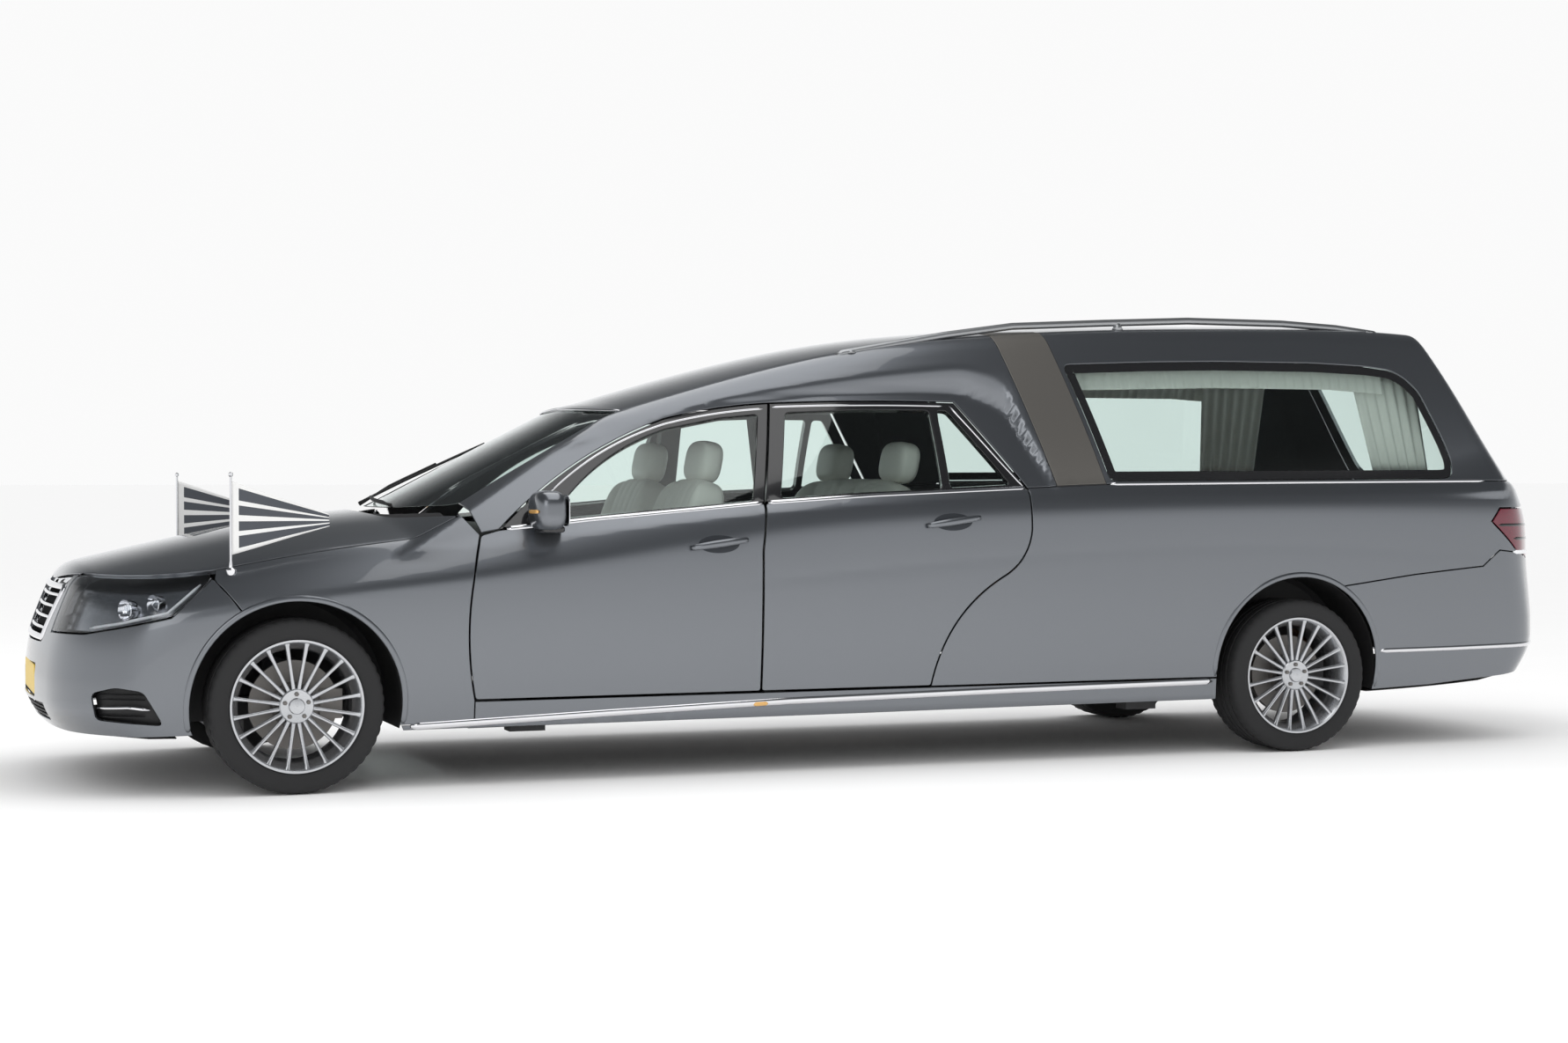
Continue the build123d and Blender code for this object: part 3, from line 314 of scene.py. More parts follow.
def open_dense(points, step=0.03):
    """Open run of points no further apart than step."""
    points = np.asarray(points, float)
    out = []
    for a, b in zip(points[:-1], points[1:]):
        count = max(1, int(np.ceil(np.linalg.norm(b - a) / step)))
        out.append(a + (b - a) * np.arange(count)[:, None] / count)
    return np.concatenate(out + [points[-1:]])


def dense(points, step=0.012):
    """Closed outline with points no further apart than step."""
    points = np.asarray(points, float)
    return open_dense(np.concatenate([points, points[:1]]), step)[:-1]


def arc(a, b, c, count=24):
    """Points from a through b to c on a parabola, without its last point."""
    a, b, c = (np.array(p, float) for p in (a, b, c))
    t = np.linspace(0, 1, count, endpoint=False)[:, None]
    split = np.linalg.norm(b - a) / (np.linalg.norm(b - a) + np.linalg.norm(c - b))
    pull = (b - a * (1 - split) ** 2 - c * split ** 2) / (2 * split * (1 - split))
    return (a * (1 - t) ** 2 + pull * 2 * t * (1 - t) + c * t ** 2).tolist()


def rounded(points, radius, count=5):
    """Closed outline with each corner cut to a soft curve."""
    points = np.asarray(points, float)
    out = []
    for before, at, after in zip(np.roll(points, 1, 0), points, np.roll(points, -1, 0)):
        start, end = (at + (far - at) * min(0.45, radius / max(np.linalg.norm(far - at), 1e-9))
                      for far in (before, after))
        t = np.linspace(0, 1, count)[:, None]
        out.append(start * (1 - t) ** 2 + at * 2 * t * (1 - t) + end * t ** 2)
    return np.concatenate(out)


def from_side(points, step=0.012):
    """Shell points from (distance behind the front axle, height) seen from the side."""
    points = dense(points, step)
    return SIDE.cast(stack(AXLE_F - points[:, 0], points[:, 1]))[0]


def shrink(loop, amount):
    """Closed flat outline drawn in by amount, whichever way it runs."""
    ahead = np.roll(loop, -1, 0) - loop
    ahead /= np.linalg.norm(ahead, axis=1)[:, None] + 1e-12
    area = np.sum(loop[:, 0] * np.roll(loop[:, 1], -1) - loop[:, 1] * np.roll(loop[:, 0], -1))
    normal = np.stack([-ahead[:, 1], ahead[:, 0]], 1) * np.sign(area)
    mitre = normal + np.roll(normal, 1, 0)
    mitre /= np.maximum(np.sum(mitre * normal, 1), 0.6)[:, None]
    return loop + mitre * amount


def inside_loop(loop, points):
    """Which points lie inside a closed flat outline."""
    result = np.zeros(len(points), bool)
    for a, b in zip(loop, np.roll(loop, -1, 0)):
        crosses = (a[1] > points[:, 1]) != (b[1] > points[:, 1])
        at = a[0] + (points[:, 1] - a[1]) * (b[0] - a[0]) / (b[1] - a[1] + 1e-15)
        result ^= crosses & (points[:, 0] < at)
    return result


def fill_loops(loops, grid):
    """Triangles over a flat area bounded by loops, the first one round it and the others holes in it."""
    points = list(np.concatenate(loops))
    edges = []
    start = 0
    for loop in loops:
        edges += [(start + i, start + (i + 1) % len(loop)) for i in range(len(loop))]
        start += len(loop)
    low, high = loops[0].min(0), loops[0].max(0)
    across = np.arange(low[0] + grid / 2, high[0], grid)
    up = np.arange(low[1] + grid / 2, high[1], grid)
    inner = np.stack(np.meshgrid(across, up), -1).reshape(-1, 2)
    keep = inside_loop(loops[0], inner)
    for hole in loops[1:]:
        keep &= ~inside_loop(hole, inner)
    inner = inner[keep]
    rim = np.concatenate(loops)
    clear = np.ones(len(inner), bool)
    for part in np.array_split(np.arange(len(inner)), max(1, len(inner) // 2000)):
        gap = np.linalg.norm(inner[part][:, None] - rim[None], axis=2).min(1)
        clear[part] = gap > 0.45 * grid
    points += list(inner[clear])
    made = delaunay_2d_cdt([Vector(p) for p in points], edges, [], 1, 1e-7)
    place = {}
    for index, sources in enumerate(made[3]):
        for source in sources:
            place[source] = index
    flat = np.array([tuple(v) for v in made[0]])
    triangles = np.array([face for face in made[2] if len(face) == 3])
    middles = flat[triangles].mean(1)
    keep = inside_loop(loops[0], middles)
    for hole in loops[1:]:
        keep &= ~inside_loop(hole, middles)
    triangles = triangles[keep]
    a, b, c = (flat[triangles[:, k]] for k in range(3))
    turn = np.cross(b - a, c - a)
    triangles = np.where((turn < 0)[:, None], triangles[:, ::-1], triangles)
    rims = []
    start = 0
    for loop in loops:
        rims.append(np.array([place[start + i] for i in range(len(loop))]))
        start += len(loop)
    return flat, triangles, rims


def new_piece(name, vertices, faces, normals=None, materials=(), indices=None, smooth=True):
    """Mesh object from arrays; normals are given one per face corner."""
    mesh = bpy.data.meshes.new(name)
    mesh.from_pydata([tuple(v) for v in vertices], [], [tuple(int(i) for i in f) for f in faces])
    for material in materials:
        mesh.materials.append(material)
    if indices is not None:
        mesh.polygons.foreach_set("material_index", np.asarray(indices, np.int32))
    if smooth:
        mesh.polygons.foreach_set("use_smooth", np.ones(len(faces), bool))
    mesh.update()
    if normals is not None:
        mesh.normals_split_custom_set([tuple(n) for n in normals])
    piece = bpy.data.objects.new(name, mesh)
    bpy.context.scene.collection.objects.link(piece)
    return piece


def panel(name, chart, loops, depth, inset, materials, grid=0.022, sink=0.0, edge=0.003, flip=1):
    """Sheet with rounded edges on the shell: outer face, turned edge and inner face, as one closed mesh."""
    rings = [shrink(loop, inset if k == 0 else -inset) for k, loop in enumerate(loops)]
    tops = [shrink(loop, edge if k == 0 else -edge) for k, loop in enumerate(rings)]
    flat, triangles, rims = fill_loops(tops, grid)
    points, normals = chart.cast(flat, sink)
    a, b, c = (points[triangles[:, k]] for k in range(3))
    if np.sum(np.cross(b - a, c - a) * normals[triangles[:, 0]]) < 0:
        triangles = triangles[:, ::-1]
    count = len(points)
    vertices = [points]
    faces = [list(t) for t in triangles]
    corners = [normals[t] for t in triangles]
    start = count
    inner_start = count + sum(len(ring) for ring in rings)
    directed = set(map(tuple, np.concatenate([triangles[:, [0, 1]], triangles[:, [1, 2]],
                                              triangles[:, [2, 0]]])))
    for ring, rim in zip(rings, rims):
        outer, ring_normals = chart.cast(ring, sink)
        lateral = outer - points[rim]
        lateral /= np.linalg.norm(lateral, axis=1)[:, None] + 1e-12
        vertices.append(outer - ring_normals * edge)
        size = len(ring)
        for i in range(size):
            j = (i + 1) % size
            p, q = rim[i], rim[j]
            if (p, q) not in directed and (q, p) not in directed:
                continue
            r, t = start + i, start + j
            wall = [(q, p, r, t), (t, r, inner_start + p, inner_start + q)]
            shade = [(normals[q], normals[p], lateral[i], lateral[j]),
                     (lateral[j], lateral[i], lateral[i], lateral[j])]
            if (p, q) not in directed:
                wall = [face[::-1] for face in wall]
                shade = [row[::-1] for row in shade]
            faces += wall
            corners += [np.array(row) for row in shade]
        start += size
    outside = len(faces)
    vertices.append(points - normals * depth)
    faces += [list(t[::-1] + inner_start) for t in triangles]
    corners += [-normals[t[::-1]] for t in triangles]
    indices = np.zeros(len(faces), int)
    indices[outside:] = len(materials) - 1
    vertices = np.concatenate(vertices)
    corners = np.concatenate(corners)
    if flip < 0:
        vertices = vertices * (1, -1, 1)
        turned = []
        turned_corners = []
        at = 0
        for face in faces:
            turned.append(face[::-1])
            turned_corners.append(corners[at:at + len(face)][::-1] * (1, -1, 1))
            at += len(face)
        faces = turned
        corners = np.concatenate(turned_corners)
    return new_piece(name, vertices, faces, corners, materials, indices)


class Shade:
    """One socket in a material; arithmetic on it adds the shader nodes for that sum."""

    def __init__(self, tree, socket=None):
        self.tree = tree
        self.socket = socket

    def node(self, kind, settings=(), sockets=(), output=0):
        made = self.tree.nodes.new(kind)
        for key, value in dict(settings).items():
            setattr(made, key, value)
        for key, value in dict(sockets).items():
            if isinstance(value, Shade):
                self.tree.links.new(value.socket, made.inputs[key])
            else:
                made.inputs[key].default_value = value
        return Shade(self.tree, made.outputs[output])

    def sum(self, operation, *values):
        return self.node("ShaderNodeMath", {"operation": operation}, dict(enumerate(values)))

    def __add__(self, other):
        return self.sum("ADD", self, other)

    def __sub__(self, other):
        return self.sum("SUBTRACT", self, other)

    def __mul__(self, other):
        return self.sum("MULTIPLY", self, other)

    def __rsub__(self, other):
        return self.sum("SUBTRACT", other, self)

    __radd__ = __add__
    __rmul__ = __mul__


def material(name, colour, roughness=0.5, metallic=0.0, vary=0.0, grain=400.0, rough_vary=0.0, bump=0.0,
             **more):
    """Principled surface whose colour and roughness vary a little with a fine noise in object space."""
    made = bpy.data.materials.new(name)
    made.use_nodes = True
    tree = made.node_tree
    shader = tree.nodes["Principled BSDF"]
    shader.inputs["Roughness"].default_value = roughness
    shader.inputs["Metallic"].default_value = metallic
    for key, value in more.items():
        shader.inputs[key.replace("_", " ")].default_value = value
    base = Shade(tree)
    place = base.node("ShaderNodeTexCoord", output="Object")
    noise = base.node("ShaderNodeTexNoise", {}, {"Vector": place, "Scale": grain, "Detail": 3.0})
    dark = tuple(c * (1 - vary) for c in colour) + (1.0,)
    light = tuple(min(1.0, c * (1 + vary)) for c in colour) + (1.0,)
    mixed = base.node("ShaderNodeMix", {"data_type": "RGBA"}, {0: noise, 6: dark, 7: light}, 2)
    tree.links.new(mixed.socket, shader.inputs["Base Color"])
    if rough_vary:
        tree.links.new((roughness + (noise - 0.5) * rough_vary).socket, shader.inputs["Roughness"])
    if bump:
        raised = base.node("ShaderNodeBump", {}, {"Height": noise, "Strength": 1.0, "Distance": bump})
        tree.links.new(raised.socket, shader.inputs["Normal"])
    return made


# Painted panels: pressed steel in dark metallic grey under clear lacquer, bolted or hinged to the body.
# Each is cut from the shell along its real shut lines, with a small rolled edge and a dark inner face.
PAINT = material("paint", (0.175, 0.187, 0.205), 0.30, 0.92, 0.18, 2600.0, Coat_Weight=1.0,
                 Coat_Roughness=0.03)
LINING = material("lining", (0.030, 0.030, 0.032), 0.8, 0.0, 0.2, 60.0)
PAINTED = (PAINT, LINING)
SIDES = ((1, "left"), (-1, "right"))
SHUT = 0.0035
SEAM = 0.0012
SKIN_T = 0.012
LID_T = 0.02
DOOR_T = 0.03
DOOR_ROUND = 0.012
WELL_R = 0.388
REAR_WELL_Z = 0.353
ARCH_STEP = 48
BELT = [(0.770, 0.967), (1.135, 1.004), (1.480, 1.034), (1.832, 1.065), (2.300, 1.094), (2.968, 1.122)]
BELT_S = np.array([row[0] for row in BELT])
BELT_Z = np.array([row[1] for row in BELT])


def flat_side(points):
    """Outline given by distance behind the front axle, in the flat coordinates of the side or top chart."""
    points = np.asarray(points, float)
    return stack(AXLE_F - points[:, 0], points[:, 1])


def belt(start, end, count=30):
    s = np.linspace(start, end, count)
    return list(zip(s, np.interp(s, BELT_S, BELT_Z)))


def arch(centre_s, centre_z, start, end, radius=WELL_R):
    """Points on a wheel arch from one angle to another, in degrees from straight back, upward."""
    angle = np.radians(np.linspace(start, end, ARCH_STEP))
    return list(zip(centre_s + radius * np.cos(angle), centre_z + radius * np.sin(angle)))


DOOR_LOW = 0.325
B_LINE = [(1.832, 1.065), (1.805, 0.880), (1.807, DOOR_LOW)]
A_LINE = arc((0.664, DOOR_LOW), (0.638, 0.640), (0.695, 0.947)) + [(0.695, 0.947)]
FRONT_DOOR = A_LINE + belt(0.770, 1.832)[:-1] + B_LINE
C_LINE = (arc((2.966, 0.950), (2.930, 0.845), (2.850, 0.768))
          + arc((2.850, 0.768), (2.650, 0.600), (2.533, DOOR_LOW)) + [(2.533, DOOR_LOW)])
REAR_DOOR = B_LINE[::-1] + belt(1.832, 2.968)[1:] + C_LINE
DOOR_LOOP = {kind: dense(rounded(dense(flat_side(outline), 0.05), DOOR_ROUND, 3))
             for kind, outline in (("front", FRONT_DOOR), ("rear", REAR_DOOR))}
for sign, name in SIDES:
    for kind, loop in DOOR_LOOP.items():
        piece = panel(f"door_{kind}_{name}_skin", SIDE, [loop], DOOR_T, SHUT, PAINTED, flip=sign)
        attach(piece, f"door_{kind}_{name}")
        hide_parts(f"door_{kind}_{name}")


def bend_chart(x_turn, facing, scale):
    """Rays out of the side that swing round the end of the car past x_turn."""
    def rays(flat):
        past = np.maximum(facing * (flat[:, 0] - x_turn), 0) / scale
        start = facing * np.minimum(facing * flat[:, 0], facing * x_turn)
        return stack(start, 0.0, flat[:, 1]), stack(facing * np.sin(past), np.cos(past), 0.0 * past)

    def flatten(p):
        past = np.arctan2(facing * (p[:, 0] - x_turn), p[:, 1])
        return stack(np.where(past > 0, x_turn + facing * past * scale, p[:, 0]), p[:, 2])
    return Chart(rays, flatten, 2.4)


BEND_SCALE = 0.85
FRONT_TURN_X = AXLE_F + 0.15
REAR_TURN_X = AXLE_R - 0.55
FRONT_BEND = bend_chart(FRONT_TURN_X, 1, BEND_SCALE)
REAR_BEND = bend_chart(REAR_TURN_X, -1, BEND_SCALE)


def on_hood_edge(y):
    """Distance behind the front axle of the hood's front and side edge at a half-width."""
    ahead = np.array(arc((-0.800, 0.0), (-0.783, 0.200), (-0.735, 0.400))
                     + arc((-0.735, 0.400), (-0.560, 0.650), (-0.300, 0.785)) + [(-0.300, 0.785)])
    return np.interp(y, ahead[:, 1], ahead[:, 0])


def above(points):
    """Shell points from (distance behind the front axle, y) seen from above."""
    return ABOVE.cast(flat_side(points))[0]


def ahead(points):
    return AHEAD.cast(np.asarray(points, float))[0]


def behind(points):
    return BEHIND.cast(np.asarray(points, float))[0]


def side(points):
    return SIDE.cast(flat_side(points))[0]


def outline_on(chart, *runs):
    """Closed flat outline on a chart from runs of shell points."""
    return dense(chart.flatten(np.concatenate(runs)))


def both_sides(points):
    """A half outline from the middle line to the middle line, closed with its mirror image."""
    return np.concatenate([points, points[::-1] * (1, -1, 1)])


HOOD_HALF = ([(on_hood_edge(y), y) for y in np.linspace(0, 0.785, 60)]
             + [(s, 0.785 + 0.015 * (s + 0.300) / 0.930) for s in np.linspace(-0.28, 0.63, 50)])
COWL_R = 1.2655
COWL_S = 1.6105
HOOD_BACK = [(COWL_S - math.sqrt(COWL_R ** 2 - y ** 2), y) for y in np.linspace(0.797, 0, 60)]
hood_loop = np.array(HOOD_HALF + HOOD_BACK)
hood_loop = np.concatenate([hood_loop, hood_loop[::-1] * (1, -1)])
hood_skin = panel("hood_skin", ABOVE, [dense(flat_side(hood_loop))], LID_T, SHUT, PAINTED)
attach(hood_skin, "hood")
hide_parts("hood")

hood_side = above([(s, y) for s, y in HOOD_HALF if s >= -0.285])
fender_low = side(arch(0.0, AXLE_Z, 119.5, -12.4) + [(0.664, 0.240)] + A_LINE)
fender_front = side([(-0.290, 0.790), (-0.240, 0.730), (-0.195, 0.668)])
fender_loop = outline_on(LOW_WRAP, fender_low, hood_side[::-1], fender_front)
for sign, name in SIDES:
    piece = panel(f"fender_{name}_skin", LOW_WRAP, [fender_loop], SKIN_T, SEAM, PAINTED, flip=sign)
    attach(piece, "body")
    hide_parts(f"fender_{name}")

BELT_REAR = [(3.340, 1.136), (4.200, 1.143), (5.206, 1.150)]
QUARTER_SIDE = side(C_LINE[::-1] + [(2.968, 1.122)] + BELT_REAR)
corner_ends = REAR_BEND.flatten(np.concatenate([side([(5.206, 1.150)]), behind([(0.598, 1.150)])]))
BELT_CORNER = REAR_BEND.cast(stack(np.linspace(corner_ends[0, 0], corner_ends[1, 0], 30)[1:], 1.150))[0]
quarter_tail = np.concatenate([BELT_CORNER, behind([(0.602, 1.100), (0.603, 1.036)])])
quarter_low = side([(5.256, 1.031), (5.206, 0.971), (5.359, 0.834), (5.250, 0.845), (5.160, 0.776)]
                   + [(4.800, 0.745)] + arch(REAR_S, REAR_WELL_Z, 62.2, 184.2) + [(3.700, DOOR_LOW)])
quarter_loop = outline_on(REAR_BEND, QUARTER_SIDE, quarter_tail, quarter_low)
for sign, name in SIDES:
    piece = panel(f"quarter_{name}_skin", REAR_BEND, [quarter_loop], SKIN_T, SEAM, PAINTED, flip=sign)
    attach(piece, "body")
    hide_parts(f"quarter_{name}")

FRONT_ARCH = (arc((0.770, 0.967), (1.140, 1.241), (1.483, 1.397))
              + arc((1.483, 1.397), (1.700, 1.440), (1.915, 1.462)))
REAR_ARCH = arc((1.915, 1.462), (2.310, 1.474), (2.715, 1.473)) + [(2.715, 1.473)]
DOOR_TOP = FRONT_ARCH + REAR_ARCH + [(2.968, 1.122)]
SCREEN_EDGE = [(0.0, 1.446), (0.300, 1.441), (0.540, 1.432), (0.572, 1.418), (0.660, 1.140), (0.690, 1.066)]
LOAD_LIGHT = [
    (3.205, 1.632), (3.600, 1.648), (3.930, 1.656), (4.400, 1.656), (4.668, 1.646), (4.790, 1.632),
    (4.857, 1.600), (4.920, 1.540), (5.012, 1.320), (5.040, 1.230), (5.030, 1.172), (4.990, 1.160),
    (3.348, 1.150),
]
HATCH_RIM = [(0.592, 1.150), (0.508, 1.735), (0.485, 1.760), (0.0, 1.760)]
GATE_TOP = [(0.592, 1.150), (0.510, 1.722), (0.488, 1.745), (0.0, 1.745)]
load_loop = dense(rounded(flat_side(LOAD_LIGHT), 0.03), 0.02)
roof_half = np.concatenate([
    ahead(open_dense(SCREEN_EDGE)), side([(0.700, 0.955)] + DOOR_TOP + BELT_REAR), BELT_CORNER,
    behind(open_dense(HATCH_RIM)[1:]),
])
roof_loop = dense(HIGH_WRAP.flatten(both_sides(roof_half)), 0.02)
light_hole = HIGH_WRAP.flatten(SIDE.cast(load_loop)[0])
other_hole = light_hole * (1, -1) + (0, math.pi * WRAP_SCALE)
ROOF_GRID = 0.019
roof_loops = [roof_loop, light_hole, other_hole]
roof_skin = panel("roof_skin", HIGH_WRAP, roof_loops, SKIN_T, SEAM, PAINTED, ROOF_GRID)
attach(roof_skin, "body")
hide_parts("roof")

HATCH_LOW = [(0.0, 0.800), (0.300, 0.800), (0.550, 0.800), (0.600, 0.850), (0.600, 1.000)]
HATCH_LIGHT = rounded([(-0.520, 1.190), (0.520, 1.190), (0.448, 1.690), (-0.448, 1.690)], 0.05)
hatch_half = np.array(HATCH_LOW + GATE_TOP)
hatch_loop = dense(rounded(np.concatenate([hatch_half, hatch_half[::-1] * (-1, 1)])[1:-1], 0.02, 4))
tailgate_skin = panel("tailgate_skin", BEHIND, [hatch_loop, dense(HATCH_LIGHT)], LID_T, SHUT, PAINTED)
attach(tailgate_skin, "tailgate")
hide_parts("tailgate")

GRILLE_SIDE = [(0.368, 0.772), (0.378, 0.752), (0.318, 0.560), (0.300, 0.548), (0.0, 0.545)]
LAMP_LOW = [(-0.298, 0.795), (-0.370, 0.730), (-0.450, 0.657), (-0.637, 0.616), (-0.739, 0.594)]
LAMP_IN_Y = 0.420
BUMPER_Z = 0.222
lamp_inner = open_dense([(LAMP_IN_Y, 0.590), (LAMP_IN_Y, 0.815)])
hood_front = above([(on_hood_edge(y), y) for y in (0.415, 0.395, 0.372)])
nose_low = ahead([(y, BUMPER_Z) for y in np.linspace(0, 0.760, 24)])
bumper_half = np.concatenate([
    nose_low, side([(-0.560, BUMPER_Z), (-0.372, 0.226)] + arch(0.0, AXLE_Z, 193.0, 119.5)[1:]),
    fender_front[::-1], side(open_dense(LAMP_LOW)), ahead(lamp_inner), hood_front,
    ahead(open_dense(GRILLE_SIDE)),
])


def mirrored_loop(chart, half, middle):
    """Half outline on a bend chart, closed over the middle line of the car."""
    flat = chart.flatten(half)
    other = flat[::-1].copy()
    other[:, 0] = 2 * middle - other[:, 0]
    return dense(np.concatenate([flat, other]))


FRONT_MIDDLE = FRONT_TURN_X + math.pi / 2 * BEND_SCALE
REAR_MIDDLE = REAR_TURN_X - math.pi / 2 * BEND_SCALE
VENT = [(-0.722, 0.381), (-0.645, 0.404), (-0.552, 0.389), (-0.481, 0.268), (-0.707, 0.286)]
vent_loop = FRONT_BEND.flatten(from_side(rounded(VENT, 0.02)))
vent_other = vent_loop * (-1, 1) + (2 * FRONT_MIDDLE, 0)
INTAKE = rounded([(-0.400, 0.258), (0.400, 0.258), (0.420, 0.322), (-0.420, 0.322)], 0.025)
intake_loop = FRONT_BEND.flatten(ahead(dense(INTAKE)))
PLATE_Y = 0.262
PLATE_LOW = 0.338
PLATE_HIGH = 0.462
plate_rim = rounded([(-PLATE_Y, PLATE_LOW), (PLATE_Y, PLATE_LOW), (PLATE_Y, PLATE_HIGH),
                     (-PLATE_Y, PLATE_HIGH)], 0.008)
plate_loop = FRONT_BEND.flatten(ahead(dense(plate_rim)))
bumper_skin = panel("front_bumper_skin", FRONT_BEND, [mirrored_loop(FRONT_BEND, bumper_half, FRONT_MIDDLE),
                    vent_loop, vent_other, intake_loop, plate_loop], SKIN_T, SEAM, PAINTED)
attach(bumper_skin, "body")
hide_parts("front_bumper")

TAIL_LOW_Z = 0.312
tail_top = behind([(y, 0.792) for y in np.linspace(0.600, 0, 20)])
tail_low = behind([(y, TAIL_LOW_Z) for y in np.linspace(0, 0.700, 20)])
rear_side = side([(5.300, 0.292), (4.900, 0.262), (4.606, 0.250)]
                 + arch(REAR_S, REAR_WELL_Z, -15.0, 62.2)[1:]
                 + [(4.800, 0.745), (5.160, 0.776), (5.250, 0.845), (5.359, 0.834), (5.495, 0.800)])
rear_half = np.concatenate([tail_low, rear_side, tail_top])
rear_bumper_skin = panel("rear_bumper_skin", REAR_BEND, [mirrored_loop(REAR_BEND, rear_half, REAR_MIDDLE)],
                         SKIN_T, SEAM, PAINTED)
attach(rear_bumper_skin, "body")
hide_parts("rear_bumper")

SILL_RIM = [(0.385, 0.240), (0.664, 0.240), (0.664, 0.322), (2.200, 0.322), (3.700, 0.322), (3.842, 0.322),
            (3.845, 0.230), (2.000, 0.222), (0.395, 0.218)]
sill_skins = [panel(f"sill_{sign}", SIDE, [dense(flat_side(SILL_RIM))], SKIN_T, SEAM, PAINTED, flip=sign)
              for sign in (1, -1)]


def joined(name, pieces):
    """Several meshes of one node made into one object."""
    bpy.ops.object.select_all(action="DESELECT")
    for piece in pieces:
        piece.select_set(True)
    bpy.context.view_layer.objects.active = pieces[0]
    bpy.ops.object.join()
    pieces[0].name = name
    return pieces[0]


sill_skin = joined("sill_skins", sill_skins)
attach(sill_skin, "body")
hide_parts("sills")

# Window frames: gloss black covers over the door frames and the pillar between the doors.
# They are pressed steel frames with glued-on black trim, with the panes set in from inside.
GLOSS_BLACK = material("gloss_black", (0.012, 0.012, 0.013), 0.12, 0.0, 0.2, 80.0, Coat_Weight=0.6)
FRONT_LIGHT = (arc((0.985, 1.008), (1.175, 1.195), (1.483, 1.352))
               + [(1.483, 1.352), (1.700, 1.396), (1.856, 1.412), (1.782, 1.076), (1.400, 1.044)])
REAR_LIGHT = [(1.905, 1.086), (1.978, 1.420), (2.300, 1.434), (2.590, 1.434), (2.590, 1.122), (2.250, 1.108)]
QUARTER_LIGHT = [(2.632, 1.126), (2.632, 1.434), (2.672, 1.432), (2.888, 1.138)]
FRONT_FRAME = FRONT_ARCH + [(1.915, 1.462)] + belt(1.832, 0.770)[:-1]
REAR_FRAME = REAR_ARCH + belt(2.968, 1.832)
light_loop = {
    "front": dense(rounded(flat_side(FRONT_LIGHT), 0.012)),
    "rear": dense(rounded(flat_side(REAR_LIGHT), 0.015)),
    "quarter": dense(rounded(flat_side(QUARTER_LIGHT), 0.012)),
}
DOOR_LIGHTS = {"front": ["front"], "rear": ["rear", "quarter"]}
for sign, name in SIDES:
    for kind, frame_line in (("front", FRONT_FRAME), ("rear", REAR_FRAME)):
        loops = [dense(flat_side(frame_line))] + [light_loop[light] for light in DOOR_LIGHTS[kind]]
        piece = panel(f"frame_{kind}_{name}", SIDE, loops, DOOR_T, SHUT, (GLOSS_BLACK, LINING), flip=sign)
        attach(piece, f"door_{kind}_{name}")

# Windows: tinted, curved safety glass, bonded or hung in the frames a little below the paint.
# The load windows carry a printed black border; the tint is a faint green.
GLASS = material("window_glass", (0.84, 0.92, 0.89), 0.03, 0.0, 0.02, 3.0, Transmission_Weight=1.0, IOR=1.06,
                 Coat_Weight=0.7, Coat_Roughness=0.02)
GLASS_SINK = 0.006
GLASS_T = 0.004
PANE_LAP = -0.004
PANE = {"sink": GLASS_SINK, "edge": 0.001, "grid": 0.03}
for sign, name in SIDES:
    for kind, lights in DOOR_LIGHTS.items():
        panes = [panel(f"pane_{light}_{name}", SIDE, [light_loop[light]], GLASS_T, PANE_LAP, (GLASS,),
                       flip=sign, **PANE) for light in lights]
        piece = joined(f"window_{kind}_{name}", panes) if len(panes) > 1 else panes[0]
        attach(piece, f"door_{kind}_{name}")
        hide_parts(f"glass_{kind}_{name}")
load_panes = [panel(f"load_pane_{sign}", SIDE, [load_loop], GLASS_T, PANE_LAP, (GLASS,), flip=sign, **PANE)
              for sign in (1, -1)]
load_pane = joined("load_windows", load_panes)
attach(load_pane, "body")
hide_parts("load_glass")
BORDER_W = 0.038
border_inner = shrink(load_loop, BORDER_W)
borders = [panel(f"load_border_{sign}", SIDE, [load_loop, border_inner], 0.001, 0.001, (GLOSS_BLACK,),
                 edge=0.0006, sink=GLASS_SINK - 0.0016, flip=sign) for sign in (1, -1)]
load_border = joined("load_window_borders", borders)
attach(load_border, "body")
screen_half = np.array([(0.0, 1.040), (0.350, 1.044), (0.640, 1.056)] + SCREEN_EDGE[::-1])
screen_loop = dense(np.concatenate([screen_half, screen_half[::-1] * (-1, 1)])[1:-1])
screen = panel("windscreen_pane", AHEAD, [screen_loop], GLASS_T, 0.002, (GLASS,), **PANE)
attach(screen, "body")
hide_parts("windscreen")
hatch_pane = panel("tailgate_pane", BEHIND, [dense(HATCH_LIGHT)], GLASS_T, PANE_LAP, (GLASS,), **PANE)
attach(hatch_pane, "tailgate")
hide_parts("tailgate_glass")

# Scuttle: black moulded plastic grille between the hood and the windscreen, clipped under both.
# It sits a little lower than the paint and carries the two wiper spindles.
TRIM = material("black_trim", (0.018, 0.018, 0.019), 0.62, 0.0, 0.3, 500.0, rough_vary=0.2, bump=0.0002)
cowl_back = ahead(open_dense([(0.0, 1.036), (0.350, 1.040), (0.640, 1.052), (0.690, 1.040)]))
cowl_half = np.concatenate([above(HOOD_BACK[::-1]), cowl_back[::-1]])[:, :2]
cowl_loop = dense(np.concatenate([cowl_half, cowl_half[::-1] * (1, -1)]), 0.02)
cowl_cover = panel("cowl_cover", ABOVE, [cowl_loop], 0.006, 0.003, (TRIM,), sink=0.016)
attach(cowl_cover, "body")
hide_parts("cowl")

